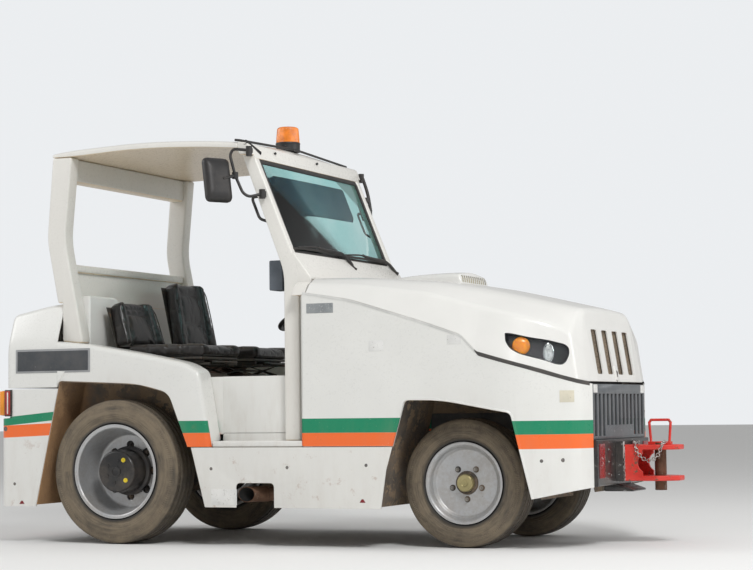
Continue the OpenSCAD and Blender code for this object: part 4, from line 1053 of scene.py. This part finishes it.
for way, hand in HANDS:
    sign = -way
    panel = put(f"front_panel_{hand}", *walled(mm(sheet[::-1], way), THICK * sign), "chassis", front_white,
                "body_white", 40, ["front_panels"], outward=True)
    cut(panel, mm(points, way), faces, "chassis")
    put(f"arch_lip_{hand}", *walled(mm(lip, way), 0.0015 * sign), "chassis", front_white, None, 50,
        outward=True)
    put(f"joint_lip_{hand}", *walled(mm(joint, way), -0.004 * sign), "chassis", joint_grey, None, 50,
        outward=True)
    put(f"seal_strip_{hand}", *walled(mm(strip, way), 0.001 * sign), "chassis", seal_black, None, 50,
        outward=True)
solid("panel_returns", [block(rect(y - 66, 538, y + 66, 1338), 6, 1160, 1166, 0, 1.5) for y in (-707, 707)],
    front_white, None, 40)
softened("side_skirts", "side_skirt_plates", panel_paint("skirt_white", rust=0.35, muck=0.16, gloss=0.36,
    low=0.2, tint=(0.76, 0.755, 0.72)), 0.0035)

# Bonnet: one white moulding hinged in front of the windscreen, with a raised centre between two
# sharp shoulders, a scoop with a slotted front, lamp openings and four air slots in the nose.


NOSE_SLOPE, NOSE_FOOT = 0.16, 860


def nose_at(z):
    """Place of the sloping nose face at height z, in millimetres."""
    return 2665 - (z - NOSE_FOOT) * NOSE_SLOPE


bonnet_white = panel_paint("bonnet_white", rust=0.0, muck=0.1, gloss=0.22, low=0.6, tint=(0.79, 0.785, 0.755))
stations = [(1195, 780, 1350, 738, 1396, 660, 1434, 1446, 0, 0),
    (1451, 780, 1307, 730, 1384, 615, 1429, 1444, 0, 0), (1859, 780, 1180, 720, 1329, 560, 1398, 1413, 0, 0),
    (2069, 780, 1107, 712, 1271, 515, 1362, 1378, 0, 0), (2155, 780, 1018, 706, 1248, 500, 1343, 1359, 0, 0),
    (2300, 780, 976, 694, 1213, 475, 1310, 1326, 0, 0), (2480, 702, 922, 656, 1165, 442, 1268, 1283, 0, 0),
    (2560, 650, 893, 618, 1131, 427, 1249, 1264, 0, 0), (2590, 602, 870, 602, 1096, 422, 1240, 1254, 45, 12)]
rows = [[(x + d, -a, b), (x + e, -c, h), (x, -f, g), (x, 0, m)] for x, a, b, c, h, f, g, m, d, e in stations]
rows.append([(nose_at(859) - 8, -487, 859), (nose_at(1010) - 8, -484, 1010), (nose_at(1222) - 1, -420, 1222),
    (nose_at(1236) - 1, 0, 1236)])
rows.append([(nose_at(859), -350, 859), (nose_at(1010), -378, 1010), (nose_at(1205), -404, 1205),
    (nose_at(1218), 0, 1218)])
rows += [[(nose_at(859 + (z - 859) * s), y * s, 859 + (z - 859) * s) for _, y, z in rows[10]]
    for s in (0.93, 0.6, 0.3, 0.02)]
rows = np.array(rows, float)
rows = np.concatenate([rows, rows[:, 2::-1] * (1, -1, 1)], 1)
hood = both_ways(rows, [0, 24, 75, 300, 75, 24, 0], [0, 60, 60, 22, 10, 90, 70, 40, 26, 14, 7, 0, 0, 0, 0], 7)
bonnet = put("bonnet_moulding", *walled(mm(hood), THICK), "bonnet", bonnet_white, "body_white", 32, ["bonnet"],
    outward=True)
slots = [block(rect(y - 50, 898, y + 50, 1132), 14, 2560, 2720, 0) for y in (-277, -93, 93, 277)]
lamp = looped([(2292, 1109), (2324, 1107), (2414, 1085), (2502, 1070), (2580, 1047), (2597, 1028), (2599, 997),
    (2586, 957), (2567, 941), (2539, 945), (2490, 965), (2420, 985), (2367, 1001), (2322, 1029), (2299, 1067)],
    [8, 30, 30, 30, 16, 12, 12, 12, 12, 12, 30, 30, 30, 30, 16], 5)
sides = [block(lamp, 0, -800, -480), block(lamp, 0, 480, 800)]
points, faces = together(slots + sides)
cut(bonnet, mm(points), faces, "bonnet")
# the scoop is a hollow cap on the hood with a yellow filter mat behind its slots
caps = [(1360, 1418, 1434), (1480, 1450, 1466), (1600, 1460, 1477), (1720, 1463, 1481), (1800, 1463, 1480),
    (1840, 1460, 1477), (1852, 1440, 1455), (1858, 1385, 1387)]
scoop = np.array([[(x, -214, 1372), (x, -205, e - 12), (x, -184, e), (x, 0, m)] for x, e, m in caps], float)
scoop = both_ways(np.concatenate([scoop, scoop[:, 2::-1] * (1, -1, 1)], 1), [0, 12, 14, 200, 14, 12, 0],
    [0, 100, 100, 100, 60, 10, 6, 0], 6)
cap = put("scoop_cap", *walled(mm(scoop), 0.0035), "bonnet", bonnet_white, None, 32, outward=True)
slits = [block(rect(y - 10, 1414, y + 10, 1452), 3, 1838, 1880, 0) for y in np.arange(-5.5, 6) * 31]
points, faces = together(slits)
cut(cap, mm(points), faces, "bonnet")
mat_yellow = finish("mat_yellow", (0.5, 0.44, 0.26), 0.85, dust=0.1, top=3, vary=0.2, depth=0.002, grain=600)
mesh_brown = finish("mesh_brown", (0.2, 0.15, 0.1), 0.7, top=1.6, vary=0.2, chip=(0.015, 0.012, 0.01),
    chips=0.65, chip_scale=150, depth=0.003, grain=300)
points, faces = block(rect(-188, 1404, 188, 1454), 0, 1842, 1845, 0)
points[:, 0] -= (points[:, 2] - 1414) * 0.3
put("scoop_filter", mm(points), faces, "bonnet", mat_yellow, outward=True)
points, faces = block(rect(-345, 880, 345, 1142), 0, 2649, 2652, 0)
points[:, 0] -= (points[:, 2] - NOSE_FOOT) * NOSE_SLOPE
put("nose_mesh", mm(points), faces, "bonnet", mesh_brown, outward=True)

# Headlamp units: dark bowls in the flanks, each with an amber indicator and a headlamp, under a
# clear cover level with the skin.


def flank(x, z):
    """y of the bonnet's right flank at x and z, millimetres: z is found in every section between its edge
    and its shoulder, then x between the sections."""
    lines = hood[:, :8]
    ahead = np.array([np.interp(z, line[:, 2], line[:, 0]) for line in lines])
    across = np.array([np.interp(z, line[:, 2], line[:, 1]) for line in lines])
    y = np.full(np.shape(x), -780.0)
    for i in range(len(lines) - 1):
        t = (x - ahead[i]) / np.maximum(ahead[i + 1] - ahead[i], 1e-6)
        y = np.where((t >= 0) & (t <= 1), across[i] + t * (across[i + 1] - across[i]), y)
    return y


def spun(profile, start, direction, n=48):
    """Surface of revolution about any axis as (points, faces): the profile's (radius, reach) points become
    start + reach d + radius (cos a u + sin a v), with u and v square to the axis d."""
    d = np.asarray(direction, float) / np.linalg.norm(direction)
    ring = circle(d, n)
    points = np.array([np.asarray(start, float) + h * d + r * ring for r, h in np.asarray(profile, float)])
    return points.reshape(-1, 3), net(len(points), n, around=True)


lamp_black = finish("lamp_black", (0.02, 0.023, 0.03), 0.45, coat=0.1, dust=0.1, top=1.6, vary=0.3)
indicator = finish("indicator_amber", (0.95, 0.33, 0.01), 0.25, coat=0.8, dust=0.0, chip=(0.75, 0.16, 0.0),
    chips=0.72, chip_scale=110, depth=0.0012, grain=170)
chrome = finish("lamp_chrome", (0.62, 0.64, 0.66), 0.12, metal=1.0, dust=0.05, vary=0.2, depth=0.0006, grain=60)
lens_glass = finish("lamp_lens", (0.55, 0.57, 0.58), 0.1, coat=0.8, dust=0.05, vary=0.35, scale=40,
    chip=(0.25, 0.26, 0.27), chips=0.45, chip_scale=60, depth=0.0012, grain=90)
clear, skin, place = material("lamp_cover_clear")
feed(skin, {"Transmission Weight": 1.0, "IOR": 1.06, "Coat Weight": 0.12,
            "Roughness": step(cloud(place, 60, 5.0, 0.7), 0.5, 0.75, (0.01, 0.1)),
            "Base Color": blended(step(cloud(place, 14), 0.4, 0.7), (0.96, 0.97, 0.96), (0.88, 0.88, 0.86))})
loop = np.concatenate([lamp, lamp[:1]])
middle = np.array([2447.0, 1030.0])
bowl = []
for scale, deep in ((1.0, 2.0), (0.985, 12.0), (0.96, 24.0), (0.92, 32.0), (0.6, 34.0), (0.3, 35.0),
        (0.01, 35.0)):
    ring = middle + (loop - middle) * scale
    bowl.append(np.column_stack([ring[:, 0], flank(ring[:, 0], ring[:, 1]) + deep, ring[:, 1]]))
cover = []
for scale in (0.985, 0.9, 0.6, 0.3, 0.01):
    ring = middle + (loop - middle) * scale
    cover.append(np.column_stack([ring[:, 0], flank(ring[:, 0], ring[:, 1]) + 3.0, ring[:, 1]]))
indicator_at, lamp_at, aim = (2371, -702, 1041), (2502, -657, 1003), (8, -23, 2)
for way, hand in HANDS:
    put(f"lamp_bowl_{hand}", *walled(mm(bowl, way), 0.002), "bonnet", lamp_black, "lamp_clear", 40,
        ["headlamps"], outward=True)
    put(f"lamp_cover_{hand}", *walled(mm(cover, way), 0.002), "bonnet", clear, None, 40, outward=True)
    dome = rounded([(0.1, 18), (20, 17), (37, 12), (46, 4), (46, -4)], 6, 4)[::-1]
    points, faces = spun(dome, indicator_at, (8, -24, 3))
    put(f"indicator_lens_{hand}", mm(points, way), faces, "bonnet", indicator)
    shapes = [spun([(50, -6), (50, 4), (46, 6), (43, 3), (30, -8), (22, -10)], lamp_at, aim),
              spun([(12, 2), (14, 0), (14, -10)], (2474, -668, 1043), aim)]
    lens = spun(rounded([(0.1, 9), (24, 6), (38, 0), (43, -6)], 8, 4)[::-1], lamp_at, aim)
    for name, (points, faces), surface in (("ring", together(shapes), chrome), ("lens", lens, lens_glass)):
        points = (points - lamp_at) * (0.52, 0.8, 1) + lamp_at
        put(f"headlamp_{name}_{hand}", mm(points, way), faces, "bonnet", surface)

# Grille, bumper plate and coupling: slate grey louvre plate, thick black steel plate below it,
# and the welded red jaw with its rusty pin and worn chain.
grille_dark = finish("grille_dark", (0.105, 0.115, 0.125), 0.4, coat=0.1, dust=0.15, top=1.1, vary=0.15,
    chip=(0.4, 0.4, 0.4), chips=0.2)
softened("grille", "grille_plate", grille_dark, 0.003)
bumper_black = finish("bumper_black", (0.02, 0.02, 0.022), 0.3, coat=0.3, dust=0.25, top=0.8, vary=0.2,
    chip=(0.42, 0.42, 0.4), chips=0.3, chip_scale=34, depth=0.0006)
softened("front_bumper", "front_bumper_plate", bumper_black, 0.006)
softened("front_coupling", "front_jaw", coupling_red, 0.005)
pin_rust = finish("pin_rust", (0.12, 0.06, 0.035), 0.6, metal=0.6, top=1.0, vary=0.4, chip=(0.28, 0.24, 0.2),
    chips=0.4)
pin = softened("tow_pin", "tow_pin_steel", pin_rust, 0.002)
pin.data.materials.append(coupling_red)
height = np.array([f.center.z for f in pin.data.polygons])
pin.data.polygons.foreach_set("material_index", (height > 0.523).astype(np.int32))
chain_steel = finish("chain_steel", (0.5, 0.49, 0.47), 0.35, metal=0.9, dust=0.15, top=0.7, vary=0.2,
    chip=(0.22, 0.12, 0.07), chips=0.35, chip_scale=60)
softened("pin_chain", "pin_chain_links", chain_steel, 0.001)
# near-black finish: real carbon deposit on the pipe wall, and painted shade where it closes the pipe
soot_and_depth_shade = finish("soot_and_depth_shade", (0.006, 0.006, 0.006), 0.9, dust=0.05)
aim = np.array([-0.5736, -0.8192, 0.0])
turn = np.linspace(0, 2 * np.pi, 49)[:-1, None]
mouth = np.cos(turn) * (0.8192, -0.5736, 0) + np.sin(turn) * (0, 0, 1)
rings = []
for radius, depth in ((42, -120), (42, 0), (40.5, 1.5), (38.5, 1.5), (38, 0), (38, -90)):
    around = np.array([830, -755, 280]) + radius * mouth
    far = (-764 - around[:, 1:2]) / aim[1] if depth > -50 else np.zeros((48, 1))
    rings.append(around + (far + depth) * aim)
solid("exhaust_pipe", [(np.concatenate(rings), [*net(6, 48, around=True), range(48)]),
    tube([(890, -672, 280), (930, -645, 281), (1400, -520, 300)], 40, 60, 28),
    block(rect(1090, 285, 1110, 389), 2, -615, -585, 1, 1),
    rod((1030, -621, 284), (1050, -615, 285), 46, 32, 3), rod((905, -660, 280), (925, -649, 281), 45, 32, 3)],
    pin_rust, "exhaust_rust", 40, ["exhaust"])
# black lining inside the mouth: real carbon deposit on its wall, and a black disc 90 mm deep that is painted
# shade for the dark depth of the pipe
points = np.concatenate([ring - 0.4 * (ring - ring.mean(0)) / 38 for ring in rings[4:]])
put("exhaust_lining_and_depth_shade", mm(points), [*net(2, 48, around=True, flip=True), range(48, 96)], "chassis", soot_and_depth_shade, None, 50)

# Small fittings on the nose: a dark red reflector strip and a worn light rail on each side of the
# jaw, hexagon screws, two blank white tags on the grille and the latch plate above it.
reflector_red = finish("reflector_red", (0.22, 0.012, 0.018), 0.25, coat=0.5, dust=0.2, top=0.8,
    chip=(0.55, 0.5, 0.5), chips=0.3, chip_scale=20, depth=0.0008, grain=240)
rail_worn = finish("rail_worn", (0.46, 0.46, 0.45), 0.5, top=0.8, vary=0.3, chip=(0.02, 0.02, 0.02), chips=0.75,
    chip_scale=30, depth=0.001)
tag_white = finish("tag_white", (0.72, 0.72, 0.7), 0.5, dust=0.1, top=1.5, chip=(0.35, 0.33, 0.3), chips=0.35,
    chip_scale=90)
screw_steel = finish("screw_steel", (0.16, 0.155, 0.15), 0.35, metal=0.7, dust=0.25, top=1.2,
    chip=(0.2, 0.12, 0.07), chips=0.3)


def screws(spots, direction, radius=9.0, tall=6.0):
    """Hexagon screws on washers: one rod of six sides on one of twenty for each spot, along a direction."""
    d = np.asarray(direction, float) / np.linalg.norm(direction)
    bars = [bar for p in np.asarray(spots, float) for bar in (rod(p - d, p + d * tall, radius, 6, 1),
        rod(p - d, p + d * 1.8, radius * 1.7, 20, 0.6))]
    return together(bars)


reflectors = [block(rect(y, 359, y + 92, 536), 4, 2694.5, 2699, 0, 1) for y in (-446, 354)]
solid("nose_reflectors", reflectors, reflector_red)
rails = [block(rect(y - 13, 338, y + 13, 542), 3, 2734.5, 2737, 0, 1) for y in (-141, 141)]
worn = solid("worn_rails", rails, rail_worn)
holes = [rod((2730, y, z), (2742, y, z), 8, 20) for y in (-141, 141) for z in (366, 410, 470, 514)]
points, faces = together(holes)
cut(worn, mm(points), faces, "chassis")
tags = [block(rect(y - 34, 800, y + 34, 842), 3, 2674.5, 2676, 0, 0.5) for y in (-428, 428)]
solid("grille_tags", tags, tag_white)
solid("nose_screws", [screws([(2694, s * 284, z) for s in (-1, 1) for z in (378, 440, 504)], (1, 0, 0), 10, 8),
    screws([(2675, s * 462, z) for s in (-1, 1) for z in (600, 700)], (1, 0, 0), 6, 4)], screw_steel, None, 30)
points, faces = block(rect(-30, 866, 30, 946), 8, 2662, 2669, 0, 2)
points[:, 0] -= (points[:, 2] - NOSE_FOOT) * NOSE_SLOPE
put("latch_plate", mm(points), faces, "bonnet", bonnet_white, outward=True)
solid("latch_key", [rod((2654, 0, 915), (2664, 0, 914), 9, 24, 2),
    block(rect(-5, 884, 5, 912), 2, 2655, 2665.5, 0, 1)], trim_black, body="bonnet")

# Beacon: ribbed amber lens on a black foot. The foot is screwed to the roof and the lens is
# twisted into it.
amber = finish("amber_lens", (0.9, 0.22, 0.01), 0.14, coat=0.7, dust=0.02, top=3, vary=0.25, scale=18)
lens = rounded([(67, 2268), (66.5, 2290), (64, 2320), (61.5, 2352), (54, 2359.5), (0.1, 2359.8)],
    [0, 4, 4, 9, 6, 0], 5)
rib = np.arange(240)
points, faces = spun(lens, (712, 0, 0), (0, 0, 1), 240)
wave = 1 + 0.012 * np.cos(rib * 2 * np.pi / 240 * 60) * (lens[:, 1:] < 2350)
points = points.reshape(len(lens), 240, 3)
points = np.concatenate([(points[..., :2] - (712, 0)) * wave[..., None] + (712, 0), points[..., 2:]], -1)
put("beacon_lens", mm(points), faces, "chassis", amber, "beacon_amber", 60, ["beacon"])
points, faces = spun(rounded([(0.1, 2215.5), (74, 2215.5), (74, 2222), (70, 2226), (70, 2258), (72, 2262),
    (70, 2270), (0.1, 2270)], [0, 2, 3, 3, 3, 3, 3, 0], 4), (712, 0, 0), (0, 0, 1), 64)
put("beacon_foot", mm(points), faces, "chassis", trim_black, None, 40)

# Plates and screws on the body: a bare slate plate in a grey frame on each side of the rear
# shell, and small plain plates that are riveted or glued to the white panels.
badge_slate = finish("badge_slate", (0.055, 0.062, 0.07), 0.4, dust=0.15, top=2, vary=0.15,
    chip=(0.25, 0.25, 0.25), chips=0.2)
badge_rim = finish("badge_rim", (0.36, 0.37, 0.38), 0.35, metal=0.3, dust=0.15, top=2, chip=(0.15, 0.15, 0.15),
    chips=0.2)
plate_grey = finish("plate_grey", (0.24, 0.26, 0.27), 0.45, dust=0.2, top=2, vary=0.25, chip=(0.5, 0.5, 0.5),
    chips=0.45, chip_scale=120)
plate_beige = finish("plate_beige", (0.66, 0.62, 0.5), 0.6, dust=0.2, top=2, vary=0.1, chip=(0.4, 0.33, 0.25),
    chips=0.3, chip_scale=60)
for way, hand in HANDS:
    solid(f"badge_frame_{hand}", [block(rect(-631, 952, -142, 1085), 4, -782.2, -779.6, 1, 1)], badge_rim,
        side=way)
    solid(f"badge_plate_{hand}", [block(rect(-619, 963, -154, 1074), 3, -783, -781, 1, 0.6)], badge_slate,
        side=way)
solid("grey_plate", [block(rect(1196, 1238, 1352, 1290), 3, -781.2, -779.5, 1, 0.5)], plate_grey)
spots = [(616, 308, 773, 222), (1556, 1086, 1640, 1030), (1996, 1105, 2074, 1056)]
solid("white_plates", [block(rect(a, d, c, b), 3, -781.0, -779.5, 1, 0.4) for a, b, c, d in spots], tag_white)
spots = ((617, 417), (1074, 424), (1533, 436), (-700, 640), (-640, 330))
solid("body_screws", [screws([(x, s * 780, z) for x, z in spots], (0, s, 0), 8, 3) for s in (-1, 1)],
    screw_steel, None, 30)
# red corner marks at the foot of the body, a beige label and two screws on the curved nose corner
solid("jack_marks", [block([(x - 17, z - 8), (x + 17, z - 8), (x + 5, z + 10), (x - 5, z + 10)], 1, -781.2,
    -779.6, 1, 0.4) for x, z in ((-591, 226), (1511, 250))], reflector_red)
label = np.linspace(2556, 2618, 8)
label = np.array([np.column_stack([label, np.interp(label, plan[:, 0], plan[:, 1]) - 0.7, np.full(8, z)])
    for z in (752, 812)])
put("beige_label", *walled(mm(label), 0.0006), "chassis", plate_beige, outward=True)
solid("corner_screws", [screws([(x, float(np.interp(x, plan[:, 0], plan[:, 1])), z)
    for x, z in ((2470, 456), (2562, 459))], (0.45, -0.9, 0), 8, 3)], screw_steel, None, 30)

# Floor and light: a pale seamless floor, one large soft lamp high on the viewer's side and a
# weaker one at the nose; the sky dome fills the shadows evenly.
floor = bpy.data.meshes.new("floor")
floor.from_pydata([(-40, -40, 0), (40, -40, 0), (40, 60, 0), (-40, 60, 0)], [], [(0, 1, 2, 3)])
ground = bpy.data.objects.new("floor", floor)
bpy.context.scene.collection.objects.link(ground)
pale, skin, _ = material("floor_pale")
feed(skin, {"Base Color": (0.84, 0.84, 0.83, 1), "Roughness": 0.9})
floor.materials.append(pale)
world = bpy.data.worlds.new("studio")
bpy.context.scene.world = world
world.use_nodes = True
tree = world.node_tree
tree.nodes.clear()
seen = part(tree, "LightPath", out="Is Camera Ray").math("MAXIMUM",
    part(tree, "LightPath", out="Is Transmission Ray"))
lit = part(tree, "Background", {"Color": (1, 1, 1, 1), "Strength": 0.46})
shown = part(tree, "Background", {"Color": (0.88, 0.9, 0.92, 1), "Strength": 0.95})
part(tree, "OutputWorld", {"Surface": part(tree, "MixShader", {0: seen, 1: lit, 2: shown})})
for name, place, aim, size, power in (("key", (5.5, -6.5, 8.0), (0, 0, 0.8), 3.0, 560),
        ("nose", (8.0, 1.0, 4.0), (0.5, 0, 0.8), 4.0, 160),
        ("rear", (-7.0, -3.0, 5.0), (-1, 0, 0.8), 4.0, 160)):
    lamp = bpy.data.lights.new(name, "AREA")
    lamp.shape, lamp.size, lamp.energy = "DISK", size, power
    stand = bpy.data.objects.new(name, lamp)
    bpy.context.scene.collection.objects.link(stand)
    stand.location = place
    stand.rotation_euler = (Vector(aim) - Vector(place)).to_track_quat("-Z", "Y").to_euler()
bpy.context.scene.view_settings.view_transform = "Standard"
